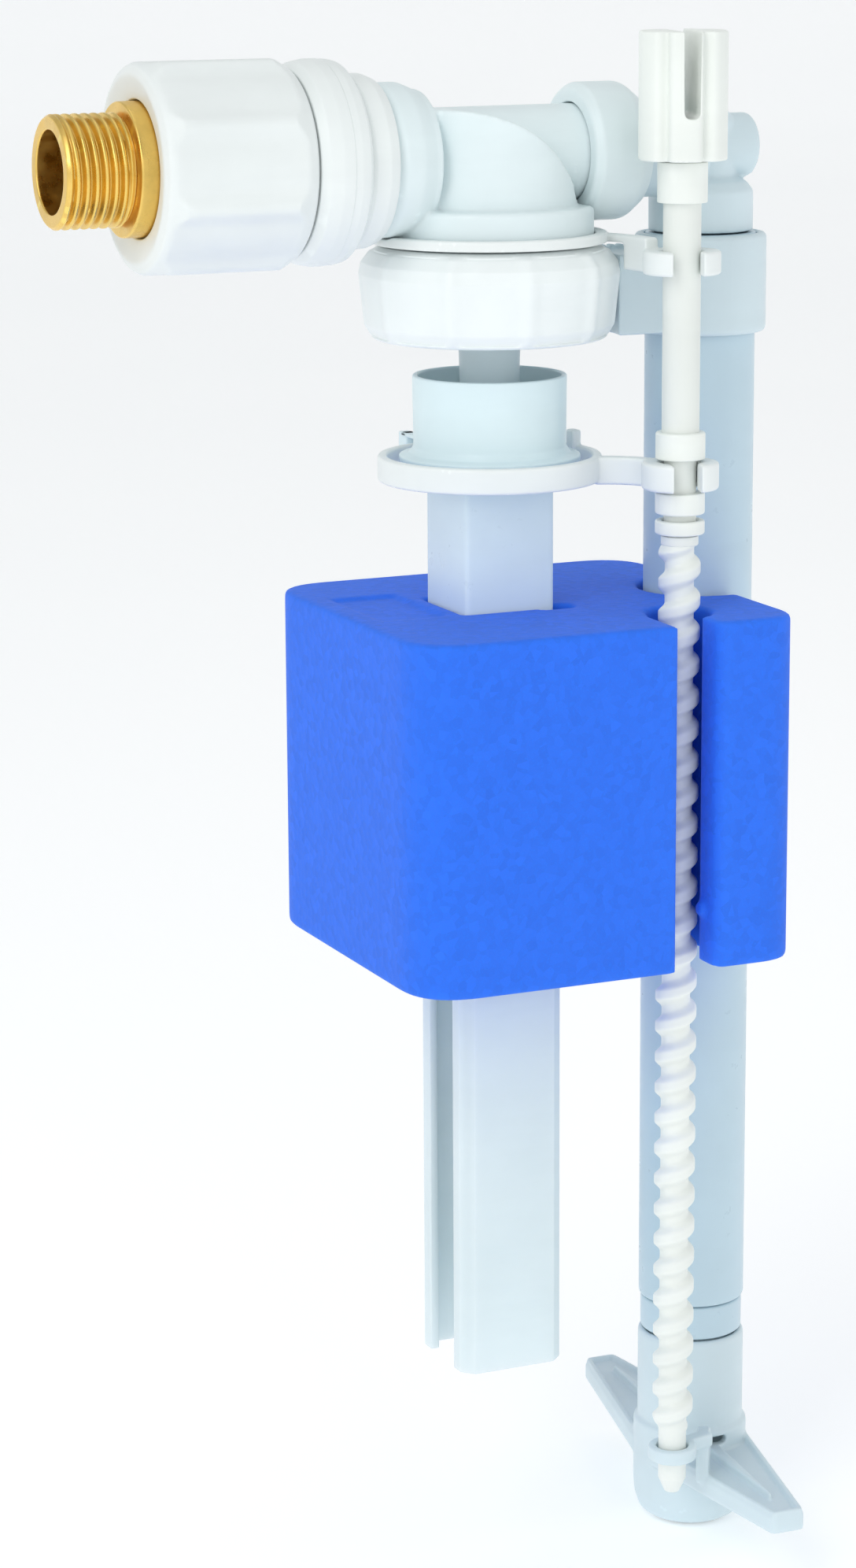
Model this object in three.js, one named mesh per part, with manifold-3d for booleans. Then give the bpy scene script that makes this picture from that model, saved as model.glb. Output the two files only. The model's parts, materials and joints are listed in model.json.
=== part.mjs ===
// Side-inlet float valve for a toilet cistern, with discharge pipe and screw-adjusted float.
// Millimetres, +Z up. The origin is on the inlet axis, on the washer face that seals against
// the cistern wall. The inlet points along -X, the discharge pipe stands at +X.
import * as THREE from 'three';
import { mergeVertices } from 'three/addons/utils/BufferGeometryUtils.js';
import Module from 'manifold-3d';

const wasm = await Module();
wasm.setup();

// ---------------------------------------------------------------- driving dimensions

const gap = 0.3;                        // clearance between pieces that touch
const fine = 24;                        // sides of a large round piece
const coarse = 16;                      // sides of a small round piece

// vertical axes, in plan
const valve = { x: 31, y: 0 };          // valve, cup and guide column
const pipe = { x: 76.5, y: 0 };         // discharge pipe and foot
const rod = { x: 59.4, y: -25 };        // float spindle

// inlet, along X
const connectorEnd = -56.9;
const connectorFlange = -43.5;          // outer face of the flange that fills the nut's mouth
const connectorFlangeR = 12.4;
const connectorTailR = 14.2;
const connectorTail = -29;
const connectorBoreR = 7.66;
const inletThreadR = 20.955 / 2;        // pipe thread G 1/2
const inletThreadPitch = 1.814;
const nutFront = -41.2;
const nutBack = -11;
const nutR = 19.6;
const nutRibs = 8;
const nutRibHeight = 0.9;
const nutRibAngle = 154.25;             // one rib, from +Y towards +Z, degrees
const collarFront = -10.6;
const collarR = 19.2;
const washerR = 16.3;
const washerThick = 6.1;
const flangeR = 14.5;
const flangeEnd = 14.6;
const shankR = 13.1;
const shankBoreR = 7;

// valve body
const chamberR = 17;
const roofR = 30;                       // curved roof that falls towards the outlet
const roofTop = 9.6;
const tubeR = 9.2;
const tubeZ = 0.3;
const diskR = 20;
const diskTop = -9.2;
const diskBottom = -16;
const chamberCavityR = 14;
const capStart = valve.x + 16.8;
const capEnd = valve.x + 29.8;
const capR = 13.2;
const elbowR = 10.2;
const elbowHeadR = 6.6;
const bossR = 6.2;
const bossZ = 0.5;

// union nut and what it clamps
const unionTop = -16.6;
const unionBottom = -34.4;
const unionR = 25;
const unionFootR = 23.8;
const unionRibs = 10;

// pilot stem, cup and lever ring
const stemR = 5.95;
const cupR = 14.9;
const cupWall = 1.1;
const cupRim = -41.4;
const cupFloor = -56.3;
const cupFlangeR = 17.6;
const cupBottom = -58.2;
const leverTop = -56.8;
const leverBottom = -61.8;
const leverInnerR = 19.8;
const leverOuterR = 21.7;
const hingeY = 24;                      // lever hinge behind the ring
const hingeZ = -59.3;
const hingePinR = 1.2;
const forkR = 7.4;
const forkTop = -56.9;
const forkBottom = -62.2;
const forkMouthAngle = -104;            // from +X about +Z, degrees
const leverMouth = 5.4;
const steadyMouth = 5.8;
const fingerTop = -60.2;                // of the finger inside the ring, below the pilot pin

// guide column
const columnHalf = 9.4;
const columnStep = -151;                // the column grows wider below this level
const channelHalf = 11.06;
const channelWall = 1.9;
const channelSlotHalf = 5.5;
const channelBottom = -240.3;

// discharge pipe and foot
const pipeR = 10.8;
const pipeBoreR = 9.2;
const pipeEnd = -234.4;
const spigotR = 10.4;
const spigotEnd = -241.9;
const sleeveR = 10.9;
const footTop = -261.3;
const footR = 11.7;
const footBottom = -282.6;
const wingTop = -266;
const wingThick = 3.8;
const wingReach = 46.3;
const wingTipHalf = 3.6;
const wingTurn = -2.5;                  // of the wings from the Y axis, degrees

// bracket between union nut and pipe
const bracketTop = -16;
const bracketBottom = -35.3;
const sleeveOuterR = 12.9;

// float spindle
const headTop = 23.8;
const headBottom = -0.1;
const headSlotDepth = 16;
const headSlotAngle = -15;              // of the slot, from the Y axis, degrees
const headR = 8.5;
const headFlutes = 6;
const headFluteAngle = -83;
const rodR = 3.6;
const rodCollarR = 4.75;
const neckR = 3.1;
const topCollarBottom = -8;
const midCollarTop = -51.2;
const neckTop = -56.4;
const neckBottom = -62.8;
const lowCollarBottom = -66.9;
const stopRingTop = -68.1;
const stopRingBottom = -70.8;
const threadTop = -74.6;
const threadBottom = -253.2;
const threadPitch = 6.3;
const threadRootR = 2.8;
const threadCrestR = 4.05;
const rodTip = -266.1;
const eyeR = 3.2;
const eyeTop = -256.2;
const eyeBottom = -259.1;
const clipTop = -16.9;
const clipBottom = -21.4;

// float
const floatLeft = valve.x - 31.8;
const floatRight = valve.x + 48;
const floatFront = -38.8;
const floatBack = 36.5;
const floatTop = -86;
const floatBottom = -153.9;
const floatCorner = 12;
const floatFrontCorner = 8;             // of the front corner beside the pipe
const floatSlotLeft = valve.x + 21.2;
const floatSlotRight = valve.x + 30;
const floatLid = 4;                     // top wall around the column
const floatPipeWayR = 12;               // notch for the pipe, open towards +X
const floatWayR = 6.4;                  // round way for the spindle
const slotCornerR = 2.8;                // round on the slot's right front edge

// ---------------------------------------------------------------- geometry helpers

// A closed three.js geometry as a manifold solid, with its faces turned outwards.
function toSolid(geometry) {
  const bare = geometry.clone();
  bare.deleteAttribute('normal');
  bare.deleteAttribute('uv');
  const merged = mergeVertices(bare, 1e-4);
  const points = merged.attributes.position;
  const triangles = [];
  let volume = 0;
  for (let i = 0; i < merged.index.count; i += 3) {
    const [a, b, c] = [0, 1, 2].map((k) => merged.index.getX(i + k));
    if (a === b || b === c || c === a) continue;
    triangles.push(a, b, c);
    const [p, q, r] = [a, b, c].map((k) => new THREE.Vector3().fromBufferAttribute(points, k));
    volume += p.dot(q.cross(r));
  }
  if (volume < 0) triangles.reverse();
  return new wasm.Manifold(new wasm.Mesh({
    numProp: 3,
    vertProperties: new Float32Array(points.array),
    triVerts: new Uint32Array(triangles),
  }));
}

function toGeometry(solid) {
  const mesh = solid.getMesh();
  const geometry = new THREE.BufferGeometry();
  geometry.setAttribute('position', new THREE.BufferAttribute(mesh.vertProperties, 3));
  geometry.setIndex(new THREE.BufferAttribute(mesh.triVerts, 1));
  geometry.computeVertexNormals();
  return geometry;
}

const join = (...solids) => solids.reduce((a, b) => a.add(b));
const cut = (body, ...tools) => tools.reduce((a, b) => a.subtract(b), body);

// Profile points are [radius, height]; the profile ends on the axis or closes on itself.
function turnedZ(profile, sides = fine, x = 0, y = 0) {
  const points = profile.map(([r, z]) => new THREE.Vector2(r, z));
  const geometry = new THREE.LatheGeometry(points, sides);
  return toSolid(geometry.rotateX(Math.PI / 2).translate(x, y, 0));
}

// The same about the inlet axis, with profile points [radius, x].
function turnedX(profile, sides = fine, z = 0) {
  const points = profile.map(([r, x]) => new THREE.Vector2(r, x));
  const geometry = new THREE.LatheGeometry(points, sides);
  return toSolid(geometry.rotateZ(-Math.PI / 2).translate(0, 0, z));
}

// A closed profile between an inner and an outer radius.
const ringProfile = (inner, outer, low, high) => [
  [inner, low], [outer, low], [outer, high], [inner, high], [inner, low],
];
const diskProfile = (radius, low, high) => [[0, low], [radius, low], [radius, high], [0, high]];

const diskZ = (radius, low, high, at, sides = fine) =>
  turnedZ(diskProfile(radius, low, high), sides, at.x, at.y);
const ringZ = (inner, outer, low, high, at, sides = fine) =>
  turnedZ(ringProfile(inner, outer, low, high), sides, at.x, at.y);

function block(x0, x1, y0, y1, z0, z1) {
  const geometry = new THREE.BoxGeometry(x1 - x0, y1 - y0, z1 - z0);
  return toSolid(geometry.translate((x0 + x1) / 2, (y0 + y1) / 2, (z0 + z1) / 2));
}

function prismZ(shape, low, high, curveSegments = 5) {
  const depth = high - low;
  const geometry = new THREE.ExtrudeGeometry(shape, { depth, bevelEnabled: false, curveSegments });
  return toSolid(geometry.translate(0, 0, low));
}

// An outline in the YZ plane, pushed along X.
function prismX(shape, low, high, curveSegments = 5) {
  const depth = high - low;
  const geometry = new THREE.ExtrudeGeometry(shape, { depth, bevelEnabled: false, curveSegments });
  geometry.rotateZ(Math.PI / 2).rotateY(Math.PI / 2);
  return toSolid(geometry.translate(low, 0, 0));
}

function polygon(points) {
  return new THREE.Shape(points.map(([x, y]) => new THREE.Vector2(x, y)));
}

// A rectangle with round corners.
function roundedRect(x0, x1, y0, y1, radius) {
  const shape = new THREE.Shape();
  shape.moveTo(x0 + radius, y0);
  shape.absarc(x1 - radius, y0 + radius, radius, -Math.PI / 2, 0);
  shape.absarc(x1 - radius, y1 - radius, radius, 0, Math.PI / 2);
  shape.absarc(x0 + radius, y1 - radius, radius, Math.PI / 2, Math.PI);
  shape.absarc(x0 + radius, y0 + radius, radius, Math.PI, Math.PI * 1.5);
  return shape;
}

const squareAt = (at, half, radius) =>
  roundedRect(at.x - half, at.x + half, at.y - half, at.y + half, radius);

// A round outline whose radius is lifted by rounded ribs.
function ribbedOutline(radius, ribs, height, firstAngle, stepsPerRib = 8, sharpness = 6) {
  const points = [];
  const steps = ribs * stepsPerRib;
  for (let i = 0; i < steps; i += 1) {
    const angle = firstAngle + (i / steps) * Math.PI * 2;
    const wave = (1 + Math.cos((angle - firstAngle) * ribs)) / 2;
    const r = radius + height * wave ** sharpness;
    points.push([r * Math.cos(angle), r * Math.sin(angle)]);
  }
  return points;
}

// A flat strip of one width that follows straight legs between points in plan.
function strip(points, width, low, high) {
  const legs = points.slice(1).map((end, i) => {
    const start = new THREE.Vector2(...points[i]);
    const run = new THREE.Vector2(...end).sub(start);
    const geometry = new THREE.BoxGeometry(run.length(), width, high - low);
    geometry.rotateZ(run.angle());
    geometry.translate(start.x + run.x / 2, start.y + run.y / 2, (low + high) / 2);
    return toSolid(geometry);
  });
  const joints = points.slice(1, -1).map(([x, y]) => diskZ(width / 2, low, high, { x, y }, 12));
  return join(...legs, ...joints);
}

// ---------------------------------------------------------------- materials

const material = (color, roughness, metalness = 0) =>
  new THREE.MeshStandardMaterial({ color, roughness, metalness });

const white = material(0xf1eeee, 0.45);
const paleBlue = material(0xdfe9ec, 0.45);
const greyBlue = material(0xcfdfe6, 0.4);
const cream = material(0xeeeeea, 0.42);
const blue = material(0x2f74e8, 0.75);
const brass = material(0xc98a1e, 0.25, 1);
const darkRubber = material(0x2c2c2e, 0.8);
const mesh = material(0xb9bec2, 0.35, 0.8);

const part = new THREE.Group();

function addPiece(name, solid, look) {
  const piece = new THREE.Mesh(toGeometry(solid), look);
  piece.name = name;
  part.add(piece);
}

// ---------------------------------------------------------------- inlet

// Threaded brass connector; the thread is drawn as rings of the real pitch.
function brassConnector() {
  const threadStart = connectorEnd + 1.3;
  const turns = 6;
  const threadDepth = 1.16;
  const profile = [[connectorBoreR, connectorEnd], [inletThreadR - 1.2, connectorEnd]];
  profile.push([inletThreadR - 0.4, connectorEnd + 0.8], [inletThreadR - 0.4, threadStart]);
  for (let i = 0; i < turns; i += 1) {
    const x = threadStart + i * inletThreadPitch;
    profile.push([inletThreadR - threadDepth, x + inletThreadPitch * 0.25]);
    profile.push([inletThreadR, x + inletThreadPitch * 0.75]);
  }
  const threadEnd = threadStart + turns * inletThreadPitch;
  profile.push([inletThreadR - threadDepth, threadEnd + 0.2], [inletThreadR - threadDepth, connectorFlange]);
  profile.push([connectorFlangeR - 0.4, connectorFlange], [connectorFlangeR, connectorFlange + 0.4]);
  profile.push([connectorFlangeR, connectorTail - 3.5], [connectorTailR, connectorTail - 3.5]);
  profile.push([connectorTailR, connectorTail], [connectorBoreR, connectorTail]);
  profile.push([connectorBoreR, connectorEnd]);
  return turnedX(profile, fine);
}

// Nut with eight rounded ribs, a round front shoulder and a chamfered back.
function couplingNut() {
  const firstRib = THREE.MathUtils.degToRad(nutRibAngle);
  const outline = polygon(ribbedOutline(nutR, nutRibs, nutRibHeight, firstRib, 8, 4));
  const ribbed = prismX(outline, nutFront, nutBack);
  const peak = nutR + nutRibHeight + 0.3;
  const envelope = turnedX([
    [0, nutFront + 1], [connectorFlangeR + gap, nutFront + 1], [17.2, nutFront], [18.9, nutFront + 0.8],
    [peak - 0.5, nutFront + 3.7], [peak, nutFront + 5], [peak, nutBack - 5], [18.2, nutBack - 0.6],
    [17.6, nutBack], [0, nutBack],
  ]);
  const mouth = turnedX(diskProfile(connectorFlangeR + gap, nutFront - 1, connectorTail - 3.5 - gap));
  const cavity = turnedX(diskProfile(connectorTailR + gap, connectorTail - 3.8, nutBack + 1));
  return cut(ribbed.intersect(envelope), mouth, cavity);
}

function connectorGasket() {
  return turnedX(ringProfile(7.7, 13.2, connectorTail + gap, connectorTail + gap + 1.8), coarse);
}

// Cone-shaped sieve with its rim in the shank's mouth.
function inletStrainer() {
  const rim = connectorTail + gap + 1.8 + gap;
  return turnedX([
    [6.6, rim + gap], [5.9, rim + gap], [3.2, rim + 9], [0, rim + 9], [0, rim + 9.8], [3.9, rim + 9.8],
    [6.6, rim + 2], [6.6, rim + gap],
  ].reverse(), coarse);
}

function wallWasher() {
  return turnedX([
    [shankR + gap, 0], [washerR - 0.8, 0], [washerR, 0.8], [washerR, washerThick - 1.6],
    [washerR - 0.9, washerThick], [shankR + gap, washerThick], [shankR + gap, 0],
  ]);
}

function lockCollar() {
  return turnedX([
    [shankR + gap, collarFront], [collarR - 1.8, collarFront], [collarR - 0.7, collarFront + 0.9],
    [collarR - 0.3, collarFront + 2.2], [collarR, collarFront + 3], [collarR, -2.6],
    [collarR - 0.5, -1], [collarR - 1.6, -gap],
    [shankR + gap, -gap], [shankR + gap, collarFront],
  ]);
}

// ---------------------------------------------------------------- valve body

// One moulding: shank, wall flange, chamber with a falling roof, outlet tube and seating disk.
function valveBody() {
  const shankStart = connectorTail + 2 * gap + 1.8;
  const shank = turnedX(diskProfile(shankR, shankStart, 16), 28);
  const flange = turnedX([
    [0, washerThick + gap], [flangeR - 0.8, washerThick + gap], [flangeR, washerThick + 1.6],
    [flangeR, flangeEnd - 3.4], [flangeR - 0.6, flangeEnd - 1.2], [flangeR - 1.6, flangeEnd], [0, flangeEnd],
  ]);
  const neck = turnedX(diskProfile(tubeR, flangeEnd - 1, capEnd - 7), 28, tubeZ);
  const drum = diskZ(chamberR, diskTop - 1, 12, valve);
  const roofCenter = { x: valve.x - 14, z: roofTop - roofR };
  const roof = toSolid(new THREE.CylinderGeometry(roofR, roofR, 60, 64)
    .translate(roofCenter.x, 0, roofCenter.z));
  const flatTop = block(valve.x - 30, roofCenter.x, -25, 25, -30, roofTop);
  const chamber = drum.intersect(join(roof, flatTop));
  const capRoom = turnedX(diskProfile(capR + gap, capStart - gap, capEnd + 5), fine, tubeZ);
  const disk = cut(diskZ(diskR, diskBottom, diskTop, valve), capRoom);
  const spigot = ringZ(chamberCavityR - 1.6, chamberCavityR, diskBottom - 1.6, diskBottom + 1, valve);
  const outer = join(shank, flange, neck, chamber, disk, spigot);
  const inletBore = turnedX(diskProfile(shankBoreR, shankStart - 1, valve.x - 8), coarse);
  const cavity = diskZ(chamberCavityR - 1.6, diskBottom - 3, -9.6, valve);
  const inletDrop = diskZ(3, -12, 2, { x: valve.x - 9.4, y: 0 }, 12);
  const outletRise = diskZ(5, -11, 2, valve, coarse);
  const outletBore = turnedX(diskProfile(5.6, valve.x - 2, capEnd), coarse, tubeZ);
  return cut(outer, inletBore, cavity, inletDrop, outletRise, outletBore);
}

// Valve seat: a raised ring that the diaphragm closes against.
function seatRing() {
  return ringZ(3.6, 4.6, -14.6, -3.5, valve, coarse);
}

// Round cap that clamps the elbow on the outlet tube.
function outletCap() {
  return turnedX([
    [tubeR + gap, capStart], [capR - 3.4, capStart + 0.01], [capR - 1.2, capStart + 0.9],
    [capR, capStart + 3],
    [capR, capEnd - 3.4], [capR - 1.1, capEnd - 1], [capR - 2.4, capEnd], [tubeR + gap, capEnd],
    [tubeR + gap, capStart],
  ], fine, tubeZ);
}

function outletSeal() {
  return turnedX(ringProfile(6.2, tubeR - 0.4, capEnd - 7 + gap, capEnd - 5), coarse, tubeZ);
}

// Elbow that turns the outlet down into the discharge pipe.
function outletElbow() {
  const bossEnd = pipe.x + 6.9;
  const barrel = turnedX(diskProfile(tubeR, capEnd - 5 + gap, pipe.x - 2), fine, tubeZ);
  const head = turnedZ([
    [0, bracketTop + gap], [elbowR, bracketTop + gap], [elbowR, -8], [elbowR - 1, -6.4],
    [elbowHeadR, -5.6], [elbowHeadR, 5.4], [elbowHeadR - 1.6, 7.4], [0, 8],
  ], fine, pipe.x, pipe.y);
  const boss = turnedX(diskProfile(bossR, pipe.x, bossEnd), coarse, bossZ);
  const bore = turnedX(diskProfile(5.8, capEnd - 6, pipe.x + 1), coarse, tubeZ);
  const drop = diskZ(5.6, bracketTop - 1, 1, pipe, coarse);
  const plugSeat = turnedX(diskProfile(3.6, pipe.x - 2, bossEnd + 1), coarse, bossZ);
  return cut(join(barrel, head, boss), bore, drop, plugSeat);
}

// Blanking plug in the elbow's boss, with a blade to turn it by.
function elbowPlug() {
  const faceX = pipe.x + 6.9 + gap;
  const shaft = turnedX(diskProfile(3.3, pipe.x + 4, faceX + 0.4), coarse, bossZ);
  const face = turnedX(diskProfile(bossR - 0.6, faceX, faceX + 0.8), coarse, bossZ);
  const blade = block(faceX + 0.4, pipe.x + 10.2, -2.6, 0.4, bossZ - 5.4, bossZ + 4.5);
  return join(shaft, face, blade);
}

// ---------------------------------------------------------------- union nut and pilot stem

function unionNut() {
  const ribbedRing = ribbedOutline(unionR - 0.4, unionRibs, 0.4, 0.2, 6, 10);
  const outline = polygon(ribbedRing.map(([x, y]) => [x + valve.x, y]));
  const ribbed = prismZ(outline, unionBottom, unionTop);
  const envelope = turnedZ([
    [0, unionBottom], [unionFootR - 1.6, unionBottom], [unionFootR, unionBottom + 2],
    [unionR, unionTop - 5.2],
    [unionR - 0.6, unionTop - 3.4], [unionR - 2.2, unionTop - 1.2], [20.8, unionTop], [0, unionTop],
  ], fine, valve.x, 0);
  const socket = diskZ(21.2, unionBottom - 1, -18.8, valve);
  const hole = diskZ(16, unionBottom - 2, 0, valve);
  return cut(ribbed.intersect(envelope), socket, hole);
}

// Bonnet that the union nut presses up against the body, with the pilot stem below it.
function pilotBonnet() {
  const plate = diskZ(20.9, -27.5, -23.4, valve);
  const skirt = ringZ(19, 20.9, -31.5, -27.5, valve);
  const stem = diskZ(stemR, cupFloor + 3, -25.6, valve, coarse);
  const well = diskZ(11.5, -25.6, -20, valve);
  const bore = diskZ(1.9, cupFloor - 3, -20, valve, 12);
  return cut(join(plate, skirt, stem), well, bore);
}

// Rubber diaphragm: a clamped rim stays with the bonnet in the real part, and the disk moves.
function diaphragm() {
  return turnedZ([
    [0, -21.4], [4.6, -21.4], [4.6, -20.4], [9.6, -20.4], [10.8, -22.4], [12, -22.4], [12, -20.8],
    [10.4, -18.6], [4.6, -18.6], [4.6, -19], [0, -19],
  ], coarse, valve.x, valve.y);
}

function diaphragmPlate() {
  return turnedZ([[0, -18.6], [6.2, -18.3], [6.2, -16.6], [4, -15.6], [0, -15.6]], coarse, valve.x, valve.y);
}

function bonnetGasket() {
  return ringZ(16.4, 20.6, -23.1, -21.4, valve, fine);
}

function clampRing() {
  return ringZ(14.3, 20.6, -21.1, -19.2, valve, fine);
}

function pilotPin() {
  const needle = diskZ(1.5, fingerTop + 0.2, -25.1, valve, 12);
  const head = diskZ(2.6, -25.2, -23.6, valve, 12);
  return join(needle, head);
}

// ---------------------------------------------------------------- cup, lever ring and column

// Bore that clears the hinge pin.
function hingeBore() {
  const radius = hingePinR + gap;
  return toSolid(new THREE.CylinderGeometry(radius, radius, 30, 12)
    .rotateZ(Math.PI / 2).translate(valve.x, hingeY, hingeZ));
}

// Open ring that holds the spindle, and the mouth that the spindle snaps in through.
const forkRing = (innerR, bottom, top) => ringZ(innerR, forkR, bottom, top, rod, coarse);

function forkMouth(width, angle) {
  const reach = 12;
  const mouth = new THREE.BoxGeometry(reach, width, 80).translate(reach / 2, 0, 0);
  return toSolid(mouth.rotateZ(THREE.MathUtils.degToRad(angle)).translate(rod.x, rod.y, -40));
}

// Open cup round the stem, on a flange with two ears for the lever's hinge pin.
function pilotCup() {
  const wall = turnedZ([
    [0, cupFloor], [cupR - cupWall, cupFloor], [cupR - cupWall, cupRim], [cupR, cupRim],
    [cupR - 0.3, cupFloor],
    [cupFlangeR - 0.4, cupFloor - 0.2], [cupFlangeR, cupFloor - 0.7], [cupFlangeR, cupBottom], [0, cupBottom],
  ].reverse(), fine, valve.x, 0);
  const socket = diskZ(stemR + 1.6, cupFloor - 0.5, cupFloor + 5, valve, coarse);
  const socketHole = diskZ(stemR + gap, cupFloor + 2.6, cupFloor + 9, valve, coarse);
  const pinHole = diskZ(1.9, cupBottom - 5, cupFloor + 5, valve, 12);
  const ear = (side) => {
    const x = valve.x + side * 6.6;
    return join(
      block(x - 1.2, x + 1.2, 14, hingeY + 1.2, cupBottom, cupBottom + 3),
      block(x - 1.2, x + 1.2, hingeY - 1.6, hingeY + 2.4, hingeZ - 2.2, cupBottom + 3),
    );
  };
  const ringRoom = ringZ(leverInnerR - 0.6, leverOuterR + 0.6, leverBottom - 2, cupFloor + 6, valve, fine);
  const lowRoom = ringZ(leverInnerR - 0.6, leverOuterR + 0.6, leverBottom - 2, leverTop + 0.5, valve, fine);
  return cut(join(cut(join(wall, socket), ringRoom), cut(join(ear(-1), ear(1)), lowRoom)),
    socketHole, pinHole, hingeBore());
}

function leverPin() {
  return toSolid(new THREE.CylinderGeometry(hingePinR, hingePinR, 17, 12)
    .rotateZ(Math.PI / 2).translate(valve.x, hingeY, hingeZ));
}

// Ring round the cup's foot with a hinge lug behind, a pilot finger inside and a forked arm.
function ringLever() {
  const hoop = ringZ(leverInnerR, leverOuterR, leverBottom, leverTop, valve, 40);
  const lug = block(valve.x - 4.8, valve.x + 4.8, leverInnerR + 0.5, hingeY + 2.2, hingeZ - 2, hingeZ + 2);
  const finger = block(valve.x - 2, valve.x + 2, -2.6, leverInnerR + 1, forkBottom, fingerTop);
  const tab = block(valve.x + 18.9, valve.x + 20.9, 2.4, 5.4, leverTop - 1, leverTop + 3);
  const armPoints = [[valve.x + 18.2, -11], [valve.x + 23.6, -13.4], [rod.x - 4.2, rod.y + 4.4]];
  const arm = strip(armPoints, 2.6, forkBottom, leverTop);
  const bare = cut(join(hoop, lug, finger, tab, arm, forkRing(neckR + 0.6, forkBottom, forkTop)),
    forkMouth(leverMouth, forkMouthAngle), diskZ(neckR + 0.6, -66, -55, rod, coarse));
  return cut(bare, hingeBore());
}

// Square tube that guides the float, with a window behind for the pilot finger.
function guideColumn() {
  const outer = prismZ(squareAt(valve, columnHalf, 1), columnStep - 12, cupBottom - gap, 3);
  const inner = prismZ(squareAt(valve, columnHalf - 1.8, 0.6), columnStep - 14, cupBottom - 1.8, 2);
  const window = block(valve.x - 3, valve.x + 3, 2, 20, leverBottom - 1.4, cupBottom + 1);
  const pinHole = diskZ(4, cupBottom - 5, cupBottom + 1, valve, 16);
  const lower = prismZ(squareAt(valve, columnHalf + 2, 0.6), columnStep - 20, columnStep + gap, 2);
  const spigotHalf = channelHalf - channelWall - gap;
  const spigot = prismZ(squareAt(valve, spigotHalf, 0.6), columnStep - 12, columnStep + gap, 2);
  return cut(join(cut(outer, lower), spigot), inner, window, pinHole);
}

// Wider C-shaped channel below, open towards the inlet, with chamfered long edges.
function channelColumn() {
  const h = channelHalf;
  const c = 2.4;
  const outline = polygon([
    [-h + c, -h], [h - c, -h], [h, -h + c], [h, h - c], [h - c, h], [-h + c, h], [-h, h - c], [-h, -h + c],
  ].map(([x, y]) => [x + valve.x, y]));
  const outer = prismZ(outline, channelBottom, columnStep);
  const inner = prismZ(squareAt(valve, h - channelWall, 0.6), channelBottom - 1, columnStep + 1, 2);
  const slot = block(valve.x - h - 1, valve.x - h + channelWall + 1, -channelSlotHalf, channelSlotHalf,
    channelBottom - 1, columnStep - 6);
  return cut(outer, inner, slot);
}

// ---------------------------------------------------------------- pipe side

// Plate that clips round the body's disk, with an arm and an open ring that steadies the spindle.
function guideBracket() {
  const plateTop = -14.2;
  const plate = ringZ(diskR + gap, diskR + 2.6, -16.2, plateTop, valve, fine);
  const flangeRoom = turnedX(diskProfile(flangeR + gap, -2, flangeEnd + gap));
  const armPoints = [[valve.x + 21.2, -6.4], [valve.x + 24.4, -12.4], [rod.x - 4.2, rod.y + 4.4]];
  const arm = cut(strip(armPoints, 2.6, clipBottom, plateTop - 0.6),
    ringZ(1, unionR + 1, -40, unionTop + gap, valve, fine));
  const openRing = forkRing(rodR + 0.4, clipBottom, clipTop);
  return cut(join(cut(plate, flangeRoom), arm, openRing),
    forkMouth(steadyMouth, forkMouthAngle - 2), diskZ(rodR + 0.4, -26, -10, rod, coarse));
}

// Sleeve that carries the discharge pipe, with a toothed web that hooks round the union nut.
function pipeBracket() {
  const sleeve = turnedZ([
    [0, bracketBottom], [sleeveOuterR - 0.6, bracketBottom], [sleeveOuterR, bracketBottom + 0.8],
    [sleeveOuterR, bracketTop - 1.6], [sleeveOuterR - 1.6, bracketTop], [0, bracketTop],
  ], fine, pipe.x, pipe.y);
  const web = block(valve.x + 20, pipe.x - 8, -7, 7, bracketBottom + 0.6, bracketTop - 3.2);
  const teeth = [0, 1, 2, 3].map((i) =>
    block(valve.x + 24.4 + i * 1.9, valve.x + 25.6 + i * 1.9, 5, 7, bracketTop - 4, bracketTop - 2.2));
  const nutRoom = diskZ(unionR + gap, bracketBottom - 2, 0, valve);
  const pipeRoom = diskZ(pipeR + gap, bracketBottom - 2, 0, pipe);
  return cut(join(sleeve, web, ...teeth), nutRoom, pipeRoom);
}

function dischargePipe() {
  return ringZ(pipeBoreR, pipeR, pipeEnd, bracketTop, pipe, 28);
}

// Spigot that joins the pipe and the foot; a narrow band of it shows between them.
function pipeSpigot() {
  return turnedZ([
    [7.6, spigotEnd - 12], [pipeBoreR - gap, spigotEnd - 12], [pipeBoreR - gap, spigotEnd + gap],
    [spigotR, spigotEnd + gap], [spigotR, pipeEnd - gap], [pipeBoreR - gap, pipeEnd - gap],
    [pipeBoreR - gap, pipeEnd + 12], [7.6, pipeEnd + 12], [7.6, spigotEnd - 12],
  ], 28, pipe.x, 0);
}

function flowRestrictor() {
  return turnedZ([
    [2.6, -44], [pipeBoreR - gap, -44], [pipeBoreR - gap, -38], [5, -38], [2.6, -44],
  ], coarse, pipe.x, 0);
}

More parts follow.
